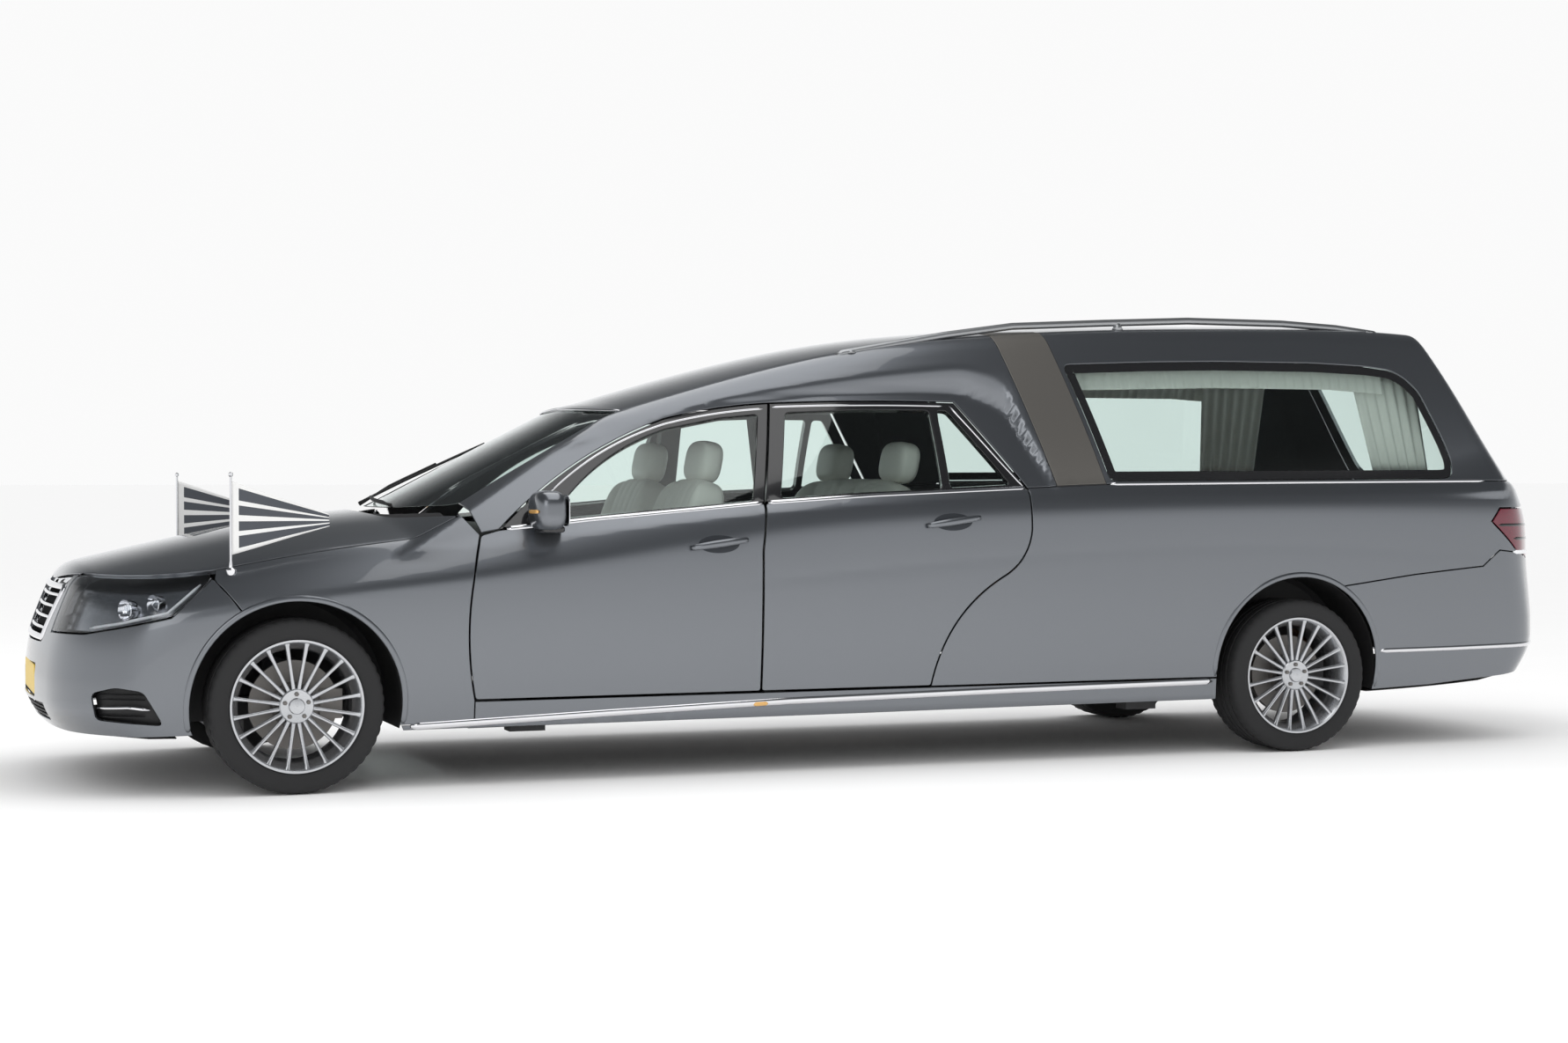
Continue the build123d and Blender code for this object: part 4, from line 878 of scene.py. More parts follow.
# Pillar blades: satin metal covers that run up from the belt to the roof ahead of the load window.
# They are glued over the body side, with a thin dark seam along both edges.
BLADE = material("satin_blade", (0.20, 0.19, 0.175), 0.38, 0.75, 0.08, 900.0, rough_vary=0.1)
BLADE_RIM = [(3.100, 1.129), (2.912, 1.745), (2.906, 1.772), (3.128, 1.772), (3.142, 1.765), (3.326, 1.137)]
blades = []
for sign in (1, -1):
    seam_line = HIGH_WRAP.flatten(from_side(BLADE_RIM, 0.02))
    blades.append(panel(f"blade_seam_{sign}", HIGH_WRAP, [seam_line], 0.004, -0.004, (TRIM,), sink=-0.0006,
                        flip=sign))
    blades.append(panel(f"blade_{sign}", HIGH_WRAP, [seam_line], 0.006, 0.001, (BLADE,), sink=-0.0022,
                        edge=0.002, flip=sign))
blade = joined("pillar_blade_covers", blades)
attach(blade, "body")
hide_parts("pillar_blades")

# Bright strips: polished steel mouldings clipped along the belt, over the windows and low on the sides.
# Each is a half-round moulding laid on the paint, with closed ends.
CHROME = material("chrome", (0.80, 0.80, 0.82), 0.07, 1.0, 0.02, 50.0, rough_vary=0.02)


def swept_faces(rows, sides):
    """Faces of a closed section carried along a run of rows, with both ends capped."""
    faces = []
    for i in range(rows - 1):
        for k in range(sides):
            j = (k + 1) % sides
            faces.append((i * sides + k, i * sides + j, (i + 1) * sides + j, (i + 1) * sides + k))
    last = (rows - 1) * sides
    return faces + [tuple(range(sides))[::-1], tuple(last + k for k in range(sides))]


def strip(name, points, normals, width, height, finish, sides=8, lift=-0.002):
    """Half-round moulding along a run of shell points."""
    points = np.asarray(points)
    along = np.gradient(points, axis=0)
    along /= np.linalg.norm(along, axis=1)[:, None]
    across = np.cross(along, normals)
    across /= np.linalg.norm(across, axis=1)[:, None]
    angle = np.linspace(0, math.pi, sides)
    taper = np.ones(len(points))
    taper[[0, -1]] = 0.5
    rows = []
    for p, n, c, k in zip(points, normals, across, taper):
        wide = np.cos(angle)[:, None] * c * width / 2 * k
        high = n * (lift + np.sin(angle)[:, None] * (height - lift) * k)
        rows.append(p + wide + high)
    return new_piece(name, np.concatenate(rows), swept_faces(len(points), sides), None, (finish,))


def side_strip(name, line, width, height, finish, sign, step=0.03):
    flat = open_dense(flat_side(line), step)
    points, normals = SIDE.cast(flat)
    flip = np.array((1, sign, 1))
    return strip(name, points * flip, normals * flip, width, height, finish)


FRONT_TOP = [(s, z - 0.022) for s, z in arc((0.985, 1.128), (1.140, 1.241), (1.483, 1.397))]
FRONT_TOP += [(s, z - 0.022) for s, z in arc((1.483, 1.397), (1.700, 1.440), (1.905, 1.461))]
REAR_TOP = [(s, z - 0.018) for s, z in arc((1.925, 1.463), (2.310, 1.474), (2.690, 1.473))]
QUARTER_EDGE = [(2.690, 1.455), (2.760, 1.366), (2.860, 1.236), (2.948, 1.128)]
SILL_LINE = [(0.420, 0.233), (1.200, 0.262), (1.924, 0.285), (2.900, 0.300), (3.820, 0.309)]
for sign, name in SIDES:
    rides = [
        ("belt_front", belt(0.800, 1.822), 0.020, 0.005, f"door_front_{name}"),
        ("belt_rear", belt(1.846, 2.955), 0.020, 0.005, f"door_rear_{name}"),
        ("top_front", FRONT_TOP, 0.010, 0.004, f"door_front_{name}"),
        ("top_rear", REAR_TOP, 0.010, 0.004, f"door_rear_{name}"),
        ("quarter_edge", QUARTER_EDGE, 0.010, 0.004, f"door_rear_{name}"),
        ("belt_load", [(3.345, 1.137), (4.200, 1.144), (5.190, 1.150)], 0.016, 0.005, "body"),
        ("sill", SILL_LINE, 0.030, 0.007, "body"),
    ]
    for kind, line, width, height, owner in rides:
        piece = side_strip(f"strip_{kind}_{name}", line, width, height, CHROME, sign)
        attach(piece, owner)
for end, line in (("front", arch(0.0, AXLE_Z, -11.0, 192.0, WELL_R + 0.011)),
                  ("rear", arch(REAR_S, REAR_WELL_Z, -13.0, 183.0, WELL_R + 0.011))):
    lips = [side_strip(f"lip_{end}_{sign}", line, 0.024, 0.005, PAINT, sign) for sign in (1, -1)]
    lip = joined(f"arch_lips_{end}", lips)
    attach(lip, "body")
header_points, header_normals = AHEAD.cast(open_dense([(-0.560, 1.430), (0.0, 1.450), (0.560, 1.430)]))
header = strip("strip_header", header_points, header_normals, 0.016, 0.004, CHROME)
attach(header, "body")
tail_points, tail_normals = REAR_BEND.cast(open_dense(
    REAR_BEND.flatten(np.concatenate([side([(4.640, 0.418), (5.000, 0.420), (5.350, 0.424)]),
                                      behind([(y, 0.428) for y in np.linspace(0.700, 0, 16)])]))))
tail_strips = []
for sign in (1, -1):
    flip = np.array((1, sign, 1))
    tail_strips.append(strip(f"tail_strip_{sign}", tail_points * flip, tail_normals * flip, 0.022, 0.006,
                             CHROME))
tail_strip = joined("strip_tail", tail_strips)
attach(tail_strip, "body")

# Headlamps: clear moulded lenses over a dark bowl with two chrome reflectors and a light strip.
# The lens is flush with the wing and hood; the bowl is set 60 mm behind the skin.
LENS = material("lamp_lens", (0.93, 0.95, 0.97), 0.02, 0.0, 0.01, 20.0, Transmission_Weight=1.0, IOR=1.12,
                Coat_Weight=0.6)
BOWL = material("lamp_bowl", (0.34, 0.35, 0.37), 0.26, 0.9, 0.2, 30.0)
GLOW = material("lamp_strip", (0.92, 0.93, 0.95), 0.25, 0.0, 0.03, 200.0)
lamp_hood = above([(on_hood_edge(y), y) for y in np.linspace(0.425, 0.784, 30)])
lamp_loop = outline_on(FRONT_BEND, side(open_dense(LAMP_LOW)), ahead(lamp_inner[:-1]), lamp_hood)


def tube(name, path, radius, finish, sides=12, flat=1.0):
    """Round bar along a path; radius may change along it, and flat squeezes it upright."""
    path = np.asarray(path, float)
    radius = np.broadcast_to(radius, (len(path),))
    along = np.gradient(path, axis=0)
    along /= np.linalg.norm(along, axis=1)[:, None]
    first = np.cross(along[0], (0.0, 0.0, 1.0) if abs(along[0][2]) < 0.9 else (1.0, 0.0, 0.0))
    first /= np.linalg.norm(first)
    angle = np.linspace(0, 2 * math.pi, sides, endpoint=False)
    rows = []
    for p, t, r in zip(path, along, radius):
        first = first - t * (first @ t)
        first /= np.linalg.norm(first)
        second = np.cross(t, first)
        rows.append(p + r * (np.cos(angle)[:, None] * first + flat * np.sin(angle)[:, None] * second))
    return new_piece(name, np.concatenate(rows), swept_faces(len(path), sides), None, (finish,))


def lathe(name, profile, centre, axis, finish, steps=48, closed=True):
    """Ring turned about an axis from rows of radius and height along it."""
    profile = np.asarray(profile, float)
    axis = np.asarray(axis, float) / np.linalg.norm(axis)
    first = np.cross(axis, (0.0, 0.0, 1.0) if abs(axis[2]) < 0.9 else (1.0, 0.0, 0.0))
    first /= np.linalg.norm(first)
    second = np.cross(axis, first)
    angle = np.linspace(0, 2 * math.pi, steps, endpoint=False)
    ring = np.cos(angle)[:, None] * first + np.sin(angle)[:, None] * second
    vertices = (ring[:, None] * profile[None, :, :1] + axis * profile[None, :, 1:]).reshape(-1, 3) + centre
    count = len(profile)
    faces = []
    for i in range(steps):
        j = (i + 1) % steps
        for k in range(count if closed else count - 1):
            m = (k + 1) % count
            faces.append((i * count + k, j * count + k, j * count + m, i * count + m))
    piece = new_piece(name, vertices, faces, None, (finish,))
    piece.data.set_sharp_from_angle(angle=math.radians(40))
    return piece


lamps = []
REFLECTORS = [(-0.610, 0.700, 0.040), (-0.490, 0.735, 0.036)]
for sign in (1, -1):
    flip = np.array((1, sign, 1))
    for part, inset, finish, sink in (("lens", 0.003, LENS, 0.001), ("bowl", 0.004, BOWL, 0.060)):
        lamps.append(panel(f"lamp_{part}_{sign}", FRONT_BEND, [lamp_loop], 0.004, inset, (finish,), sink=sink,
                           flip=sign))
    for s, z, r in REFLECTORS:
        place, out = SIDE.cast(flat_side([(s, z)]))
        aim = np.array((0.86, 0.5, 0.0)) * flip
        centre = (place[0] - out[0] * 0.058) * flip
        cup = [(r, 0.034), (r * 0.96, 0.036), (r * 0.75, 0.012), (r * 0.35, 0.002), (0.004, 0.0),
               (0.004, -0.004), (r * 0.8, -0.002)]
        lamps.append(lathe(f"reflector_{s}_{sign}", cup, centre, aim, CHROME, 32))
        dome = [(0.001, 0.034), (r * 0.3, 0.031), (r * 0.5, 0.022), (r * 0.52, 0.004), (0.001, 0.003)]
        lamps.append(lathe(f"projector_{s}_{sign}", dome, centre, aim, LENS, 24))
    edge_flat = FRONT_BEND.flatten(side([(-0.345, 0.772), (-0.470, 0.672), (-0.640, 0.632), (-0.735, 0.612)]))
    points, normals = FRONT_BEND.cast(open_dense(edge_flat), 0.030)
    lamps.append(strip(f"lamp_strip_{sign}", points * flip, normals * flip, 0.012, 0.006, GLOW))
headlamp = joined("headlamp_units", lamps)
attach(headlamp, "body")
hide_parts("headlamps")

# Grille: chromed surround with four bars over a dark mesh, clipped into the bumper under the hood lip.
# The bars follow the bow of the nose; the badge of the real car is left out.
MESH = material("grille_mesh", (0.015, 0.015, 0.016), 0.45, 0.3, 0.4, 900.0)
GRILLE_TOP = 0.762
grille_half = np.array([(0.296, 0.552), (0.314, 0.563), (0.372, 0.745), (0.362, GRILLE_TOP)])
grille_rim = np.concatenate([grille_half[::-1] * (-1, 1), grille_half])
grille = [panel("grille_back", AHEAD, [dense(grille_rim, 0.02)], 0.004, 0.004, (MESH,), sink=0.045)]
for y in np.linspace(-0.345, 0.345, 47):
    low = 0.556 + max(0.0, abs(y) - 0.312) * 3.1
    run, out = AHEAD.cast(open_dense([(y, low), (y, 0.755)], 0.04), 0.030)
    grille.append(strip(f"mesh_{y:.3f}", run, out, 0.005, 0.008, MESH, 5))
rim_run, rim_out = AHEAD.cast(dense(np.array(shrink(dense(grille_rim, 0.02), 0.010)), 0.02), 0.004)
rim_run = np.concatenate([rim_run, rim_run[:2]])
rim_out = np.concatenate([rim_out, rim_out[:2]])
grille.append(strip("grille_surround", rim_run, rim_out, 0.026, 0.012, CHROME, 9))
for z in (0.594, 0.635, 0.676, 0.717):
    half = 0.318 + (z - 0.560) * 0.300
    run, out = AHEAD.cast(open_dense([(-half, z), (half, z)], 0.03), 0.014)
    grille.append(strip(f"bar_{z}", run, out, 0.016, 0.016, CHROME, 8))
grille_piece = joined("grille_unit", grille)
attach(grille_piece, "body")
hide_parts("grille")
vents = []
for sign in (1, -1):
    flip = np.array((1, sign, 1))
    vents.append(panel(f"vent_back_{sign}", FRONT_BEND, [vent_loop], 0.004, -0.004, (MESH,), sink=0.030,
                       flip=sign))
    run, out = SIDE.cast(open_dense(flat_side([(-0.700, 0.330), (-0.600, 0.335), (-0.525, 0.325)])), 0.006)
    vents.append(strip(f"vent_blade_{sign}", run * flip, out * flip, 0.014, 0.008, CHROME))
    for z in (0.300, 0.360, 0.378):
        run, out = SIDE.cast(open_dense(flat_side([(-0.690, z), (-0.540, z)])), 0.018)
        vents.append(strip(f"vent_bar_{z}_{sign}", run * flip, out * flip, 0.006, 0.008, MESH, 5))
vents.append(panel("intake_back", FRONT_BEND, [intake_loop], 0.004, -0.004, (MESH,), sink=0.030))
for z in (0.274, 0.290, 0.306):
    run, out = AHEAD.cast(open_dense([(-0.405, z), (0.405, z)]), 0.016)
    vents.append(strip(f"intake_bar_{z}", run, out, 0.006, 0.008, MESH, 5))
vent = joined("lower_vents", vents)
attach(vent, "body")

# Tail lamps: dark red lenses with two black bands and a clear reversing strip, flush with the body.
# The moulding wraps from the side to the tailgate opening.
RED = material("red_lens", (0.13, 0.003, 0.018), 0.08, 0.0, 0.3, 120.0, Coat_Weight=1.0)
tail_in = behind(open_dense([(0.606, 1.030), (0.606, 0.803)]))
tail_out = side([(5.495, 0.802), (5.359, 0.837), (5.210, 0.971), (5.258, 1.028)])
tail_lamp_loop = outline_on(REAR_BEND, tail_out, tail_in)
tails = []
for sign in (1, -1):
    flip = np.array((1, sign, 1))
    tails.append(panel(f"tail_lens_{sign}", REAR_BEND, [tail_lamp_loop], 0.006, SEAM, (RED,), flip=sign))
    for z, width, finish in ((0.955, 0.014, GLOSS_BLACK), (0.895, 0.014, GLOSS_BLACK), (0.835, 0.020, GLOW)):
        start = 5.240 if z > 0.9 else 5.330
        line = np.concatenate([side([(start, z), (start + 0.08, z), (5.440, z)]),
                               behind([(0.700, z), (0.620, z)])])
        run, out = REAR_BEND.cast(open_dense(REAR_BEND.flatten(line), 0.02))
        tails.append(strip(f"tail_band_{z}_{sign}", run * flip, out * flip, width, 0.002, finish, 7))
tail_lamp = joined("tail_lamp_units", tails)
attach(tail_lamp, "body")
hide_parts("tail_lamps")

# Wheels: cast aluminium, machined and lacquered, twenty thin spokes from hub to rim edge.
# Five bolts hold each one to its hub over an iron brake disc; the cap is plain.
# The tyres are moulded rubber with two grooves each side and sipes across the shoulders.
ALLOY = material("wheel_alloy", (0.55, 0.56, 0.58), 0.24, 0.9, 0.05, 300.0, rough_vary=0.08)
IRON = material("brake_iron", (0.20, 0.19, 0.18), 0.45, 0.85, 0.15, 200.0, rough_vary=0.2)
RUBBER = material("tyre_rubber", (0.017, 0.017, 0.018), 0.78, 0.0, 0.25, 300.0, rough_vary=0.15, bump=0.0003)
SPOKES = 20
BOLTS = 5
# columns: radius, distance outboard of the wheel's middle
BARREL = [
    (0.246, 0.104), (0.2455, 0.1065), (0.238, 0.106), (0.233, 0.101), (0.229, 0.090), (0.214, 0.070),
    (0.206, 0.020), (0.206, -0.060), (0.216, -0.100), (0.238, -0.107), (0.246, -0.107), (0.246, -0.098),
    (0.228, -0.096),
    (0.222, -0.060), (0.213, -0.020), (0.213, 0.060), (0.228, 0.088), (0.2455, 0.098),
]
HUB = [(0.001, 0.060), (0.060, 0.060), (0.064, 0.066), (0.064, 0.082), (0.060, 0.086), (0.030, 0.084),
       (0.001, 0.084)]
CAP = [(0.001, 0.083), (0.029, 0.083), (0.030, 0.088), (0.027, 0.0925), (0.016, 0.0945), (0.001, 0.095)]
BOLT = [(0.0001, 0.080), (0.0085, 0.080), (0.0085, 0.091), (0.0065, 0.093), (0.0001, 0.093)]
DISC = [(0.060, -0.020), (0.165, -0.020), (0.165, 0.004), (0.085, 0.004), (0.080, 0.030), (0.060, 0.030)]
# columns: radius, face height, half width, depth
SPOKE = [
    (0.050, 0.078, 0.0075, 0.022), (0.075, 0.080, 0.0070, 0.026), (0.120, 0.085, 0.0062, 0.024),
    (0.180, 0.093, 0.0064, 0.020), (0.222, 0.099, 0.0078, 0.018), (0.2385, 0.1035, 0.0105, 0.014),
]
# columns: radius, distance outboard of the tyre's middle
SIDEWALL = [(0.2295, 0.088), (0.247, 0.093), (0.249, 0.108), (0.256, 0.1155), (0.270, 0.1195),
            (0.288, 0.1208), (0.300, 0.1195), (0.310, 0.1150), (0.317, 0.1070)]
TREAD = [(0.3208, 0.098), (0.3222, 0.085), (0.3222, 0.064), (0.3160, 0.063), (0.3160, 0.055), (0.3226, 0.054),
         (0.3226, 0.024), (0.3160, 0.023), (0.3160, 0.014), (0.3227, 0.013)]
TYRE_HALF = SIDEWALL + TREAD
TYRE_RING = TYRE_HALF + [(r, -out) for r, out in TYRE_HALF[::-1]]
TREAD_STEPS = 144
SIPE_DEPTH = 0.0035
SIPE_EVERY = 3
BOLT_CIRCLE = 0.045
BOLT_TURN = 0.3


def spoke(name, centre, out, angle):
    """One thin spoke, deeper toward the hub, with a rounded face."""
    ray = np.array((math.cos(angle), 0.0, math.sin(angle)))
    wide = np.array((-math.sin(angle), 0.0, math.cos(angle)))
    face = np.array((0.0, out, 0.0))
    rows = []
    for r, high, half, deep in SPOKE:
        section = [(-half, high - deep), (-half, high - 0.003), (-half * 0.55, high), (half * 0.55, high),
                   (half, high - 0.003), (half, high - deep)]
        rows += [centre + ray * r + wide * a + face * b for a, b in section]
    made = new_piece(name, rows, swept_faces(len(SPOKE), len(section)), None, (ALLOY,))
    made.data.set_sharp_from_angle(angle=math.radians(50))
    return made


for end, x in (("front", AXLE_F), ("rear", AXLE_R)):
    for sign, name in SIDES:
        centre = np.array((x, sign * TRACK, AXLE_Z))
        out = (0.0, float(sign), 0.0)
        parts = [lathe(f"barrel_{end}_{name}", BARREL, centre, out, ALLOY, 96),
                 lathe(f"hub_{end}_{name}", HUB, centre, out, ALLOY, 48, False),
                 lathe(f"cap_{end}_{name}", CAP, centre, out, ALLOY, 40, False),
                 lathe(f"disc_{end}_{name}", DISC, centre, out, IRON, 64)]
        for k in range(SPOKES):
            parts.append(spoke(f"spoke_{k}_{end}_{name}", centre, sign, 2 * math.pi * (k + 0.5) / SPOKES))
        for k in range(BOLTS):
            turn = 2 * math.pi * k / BOLTS + BOLT_TURN
            spot = centre + BOLT_CIRCLE * np.array((math.cos(turn), 0.0, math.sin(turn)))
            parts.append(lathe(f"bolt_{k}_{end}_{name}", BOLT, spot, out, IRON, 6, False))
        rim = joined(f"rim_{end}_{name}", parts)
        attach(rim, f"wheel_{end}_{name}")
        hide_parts(f"wheel_{end}_{name}")
        tyre = lathe(f"rubber_{end}_{name}", TYRE_RING, centre, out, RUBBER, TREAD_STEPS)
        count = len(TYRE_RING)
        shoulder = [k for k, (r, w) in enumerate(TYRE_RING) if 0.060 < abs(w) < 0.110 and r > 0.3165]
        for i in range(0, TREAD_STEPS, SIPE_EVERY):
            for k in shoulder:
                vertex = tyre.data.vertices[i * count + k]
                arm = Vector((vertex.co.x - x, 0.0, vertex.co.z - AXLE_Z))
                vertex.co -= arm.normalized() * SIPE_DEPTH
        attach(tyre, f"wheel_{end}_{name}")
        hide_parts(f"tyre_{end}_{name}")

# Door mirrors: painted plastic shells on short black stalks at the front corner of the side window.
# Each shell holds a mirror plate behind and an amber indicator strip in front.
INDICATOR = material("indicator", (0.75, 0.42, 0.12), 0.1, 0.0, 0.1, 200.0, Coat_Weight=1.0)
SILVERED = material("mirror_plate", (0.85, 0.87, 0.88), 0.03, 1.0, 0.01, 20.0)


def soft_box(name, size, power, finish, rows=20, shape=None):
    """Rounded box about the origin; shape may move its points afterwards."""
    grid = np.linspace(-1, 1, rows)
    vertices = []
    index = {}
    faces = []

    def at(p):
        key = tuple(np.round(p, 6))
        if key not in index:
            index[key] = len(vertices)
            vertices.append(p)
        return index[key]
    for axis in range(3):
        for sign in (-1, 1):
            for i in range(rows - 1):
                for j in range(rows - 1):
                    quad = []
                    for a, b in ((i, j), (i + 1, j), (i + 1, j + 1), (i, j + 1)):
                        p = np.zeros(3)
                        p[axis] = sign
                        p[(axis + 1) % 3] = grid[a]
                        p[(axis + 2) % 3] = grid[b]
                        quad.append(at(p))
                    faces.append(quad if sign > 0 else quad[::-1])
    points = np.array(vertices)
    points /= (np.sum(np.abs(points) ** power, 1) ** (1 / power))[:, None]
    points = points * np.asarray(size) / 2
    if shape is not None:
        points = shape(points)
    return new_piece(name, points, faces, None, (finish,))


def put(piece, place, turn=(0.0, 0.0, 0.0)):
    """Moves a mesh's points: turned about X, Y and Z, then set down at a place."""
    matrix = np.eye(3)
    for axis, angle in enumerate(turn):
        c, s = math.cos(angle), math.sin(angle)
        a, b = (axis + 1) % 3, (axis + 2) % 3
        step = np.eye(3)
        step[a, a], step[a, b], step[b, a], step[b, b] = c, -s, s, c
        matrix = step @ matrix
    coords = np.empty(len(piece.data.vertices) * 3)
    piece.data.vertices.foreach_get("co", coords)
    coords = coords.reshape(-1, 3) @ matrix.T + np.asarray(place)
    piece.data.vertices.foreach_set("co", coords.ravel())
    piece.data.update()
    return piece


# columns: part, size, squareness, finish, mesh rows, place from the middle of the shell's top
MIRROR_PARTS = [
    ("shell", (0.125, 0.205, 0.150), 3.2, PAINT, 20, (0.03, 0.0, -0.078)),
    ("plate", (0.006, 0.170, 0.118), 6, SILVERED, 10, (-0.034, 0.0, -0.078)),
    ("lens", (0.012, 0.120, 0.016), 4, INDICATOR, 8, (0.088, 0.02, -0.082)),
    ("base", (0.100, 0.150, 0.030), 4, GLOSS_BLACK, 12, (0.01, -0.045, -0.150)),
]
for sign, name in SIDES:
    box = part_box(f"mirror_{name}")
    low, high = np.array(box[0]), np.array(box[1])
    middle = (low + high) / 2
    shell_y = sign * (max(abs(low[1]), abs(high[1])) - 0.106)
    parts = []
    for part, size, power, finish, rows, (x, y, z) in MIRROR_PARTS:
        parts.append(put(soft_box(f"mirror_{part}_{name}", size, power, finish, rows),
                         (middle[0] + x, shell_y + sign * y, high[2] + z)))
    foot, _ = SIDE.cast(flat_side([(0.905, 1.005)]))
    foot = foot[0] * (1, sign, 1)
    top = np.array((middle[0] + 0.01, shell_y - sign * 0.05, high[2] - 0.145))
    parts.append(tube(f"mirror_stalk_{name}", [foot - (0, sign * 0.01, 0), foot * 0.5 + top * 0.5, top],
                      [0.034, 0.028, 0.026], TRIM, 12, 0.6))
    piece = joined(f"mirror_unit_{name}", parts)
    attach(piece, f"door_front_{name}")
    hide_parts(f"mirror_{name}")

# Door handles: painted bars over an oval cup pressed into the door, fixed at both ends.
# The cup is drawn as a thin oval on the skin in dark metallic grey, painted shade for the shadow in the
# recess; the bar stands off it far enough for a hand.
# Painted shade: the cup's colour is far darker than the body paint, standing for the shadow inside the
# pressed recess.
CUP_SHADE = material("handle_cup", (0.045, 0.050, 0.058), 0.4, 0.6, 0.2, 900.0)
for sign, name in SIDES:
    for kind, s, z in (("front", 1.622, 0.905), ("rear", 2.614, 0.985)):
        angle = np.linspace(0, 2 * math.pi, 40, endpoint=False)
        oval = stack(AXLE_F - s + 0.085 * np.cos(angle), z + 0.036 * np.sin(angle))
        cup = panel(f"cup_{kind}_{name}", SIDE, [oval], 0.003, 0.0, (CUP_SHADE,), sink=-0.0008, edge=0.002,
                    flip=sign)
        run = np.linspace(-0.115, 0.115, 15)
        points, normals = SIDE.cast(stack(AXLE_F - s - run, z + run * 0.13))
        bow = 0.024 * (1 - np.abs(run / 0.125) ** 3)
        path = (points + normals * (bow + 0.002)[:, None]) * (1, sign, 1)
        thick = 0.012 - 0.004 * (run / 0.115) ** 2
        bar = tube(f"bar_{kind}_{name}", path, thick, PAINT, 14, 1.25)
        piece = joined(f"handle_unit_{kind}_{name}", [cup, bar])
        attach(piece, f"door_{kind}_{name}")
        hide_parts(f"handle_{kind}_{name}")

# Roof rails: satin aluminium bars along both roof edges, on a foot at each end and one in the middle.
# Each is one bent bar, screwed to the roof through its feet.
RAIL = [(2.223, 1.667), (2.421, 1.703), (2.720, 1.757), (3.026, 1.800), (3.450, 1.822), (3.856, 1.840),
        (4.321, 1.838), (4.593, 1.824), (4.837, 1.797)]
RAIL_Y = 0.600
rail_metal = material("rail_alloy", (0.40, 0.41, 0.42), 0.3, 0.9, 0.05, 300.0, rough_vary=0.1)
rails = []
for sign in (1, -1):
    line = open_dense(RAIL, 0.05)
    path = stack(AXLE_F - line[:, 0], sign * RAIL_Y, line[:, 1] - 0.005)
    ends = np.minimum(np.arange(len(path)), np.arange(len(path))[::-1])
    path[:, 2] -= 0.022 * (ends == 0)
    rails.append(tube(f"rail_{sign}", path, 0.0125, rail_metal, 12, 1.2))
    for s in (2.300, 3.520, 4.760):
        roof, _ = ABOVE.cast([(AXLE_F - s, RAIL_Y)])
        z = np.interp(s, line[:, 0], line[:, 1])
        foot = roof[0] * (1, sign, 1)
        head = (foot[0], foot[1], max(z - 0.008, foot[2] + 0.004))
        post = [foot - (0, 0, 0.006), head]
        rails.append(tube(f"rail_foot_{s}_{sign}", post, [0.026, 0.013], rail_metal, 16))
rail_piece = joined("rail_bars", rails)
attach(rail_piece, "body")
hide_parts("roof_rails")

# Flag staffs and pennants: chromed rods with a ball on top, screwed to the front wings.
# The pennants are sewn cloth with a white sleeve and border, hung from the rods; a still day, a slight sag.
STAFF_S = -0.228
STAFF_Y = 0.812
STAFF_TOP = 1.184
FLAG_LOW = 0.880
FLAG_HIGH = 1.150
FLAG_L = 0.355
staffs = []
for sign in (1, -1):
    base, _ = ABOVE.cast([(AXLE_F - STAFF_S, STAFF_Y)])
    x, z = base[0][0], base[0][2]
    tall = STAFF_TOP - z
    rod = [(0.0001, -0.030), (0.006, -0.030), (0.020, -0.004), (0.020, 0.006), (0.008, 0.014),
           (0.0045, 0.040), (0.0045, tall - 0.018), (0.0085, tall - 0.014), (0.0085, tall - 0.004),
           (0.0001, tall)]
    staffs.append(lathe(f"staff_{sign}", rod, (x, sign * STAFF_Y, z), (0.0, 0.0, 1.0), CHROME, 20, False))
staff = joined("flag_staff_rods", staffs)
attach(staff, "body")
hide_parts("flag_staffs")

CLOTH = bpy.data.materials.new("pennant_cloth")
CLOTH.use_nodes = True
cloth_tree = CLOTH.node_tree
cloth_shader = cloth_tree.nodes["Principled BSDF"]
cloth_shader.inputs["Roughness"].default_value = 0.85
cloth_base = Shade(cloth_tree)
cloth_uv = cloth_base.node("ShaderNodeUVMap")
cloth_split = cloth_uv.node("ShaderNodeSeparateXYZ", {}, {0: cloth_uv})
along_flag = cloth_split
across_flag = Shade(cloth_tree, cloth_split.socket.node.outputs[1])
weave = cloth_base.node("ShaderNodeTexNoise", {}, {"Scale": 900.0})
off_middle = across_flag.sum("ABSOLUTE", across_flag - 0.5)
border = off_middle.sum("GREATER_THAN", off_middle, 0.43)
sleeve = along_flag.sum("LESS_THAN", along_flag, 0.07)
stripe = off_middle.sum("LESS_THAN", off_middle, 0.045)
outer_stripe = off_middle.sum("ABSOLUTE", off_middle - 0.22)
outer_stripe = outer_stripe.sum("LESS_THAN", outer_stripe, 0.035)
white = border.sum("MAXIMUM", border, sleeve)
white = white.sum("MAXIMUM", white, stripe.sum("MAXIMUM", stripe, outer_stripe))
cloth_colour = cloth_base.node("ShaderNodeMix", {"data_type": "RGBA"},
                               {0: white, 6: (0.075, 0.082, 0.095, 1.0), 7: (0.80, 0.80, 0.79, 1.0)}, 2)
cloth_tree.links.new(cloth_colour.socket, cloth_shader.inputs["Base Color"])
thread = cloth_base.node("ShaderNodeBump", {}, {"Height": weave, "Strength": 0.6, "Distance": 0.0004})
cloth_tree.links.new(thread.socket, cloth_shader.inputs["Normal"])
FLAG_T = 0.0015
FLAG_TIP = 0.045
FLAG_COLUMNS = 40
FLAG_ROWS = 24
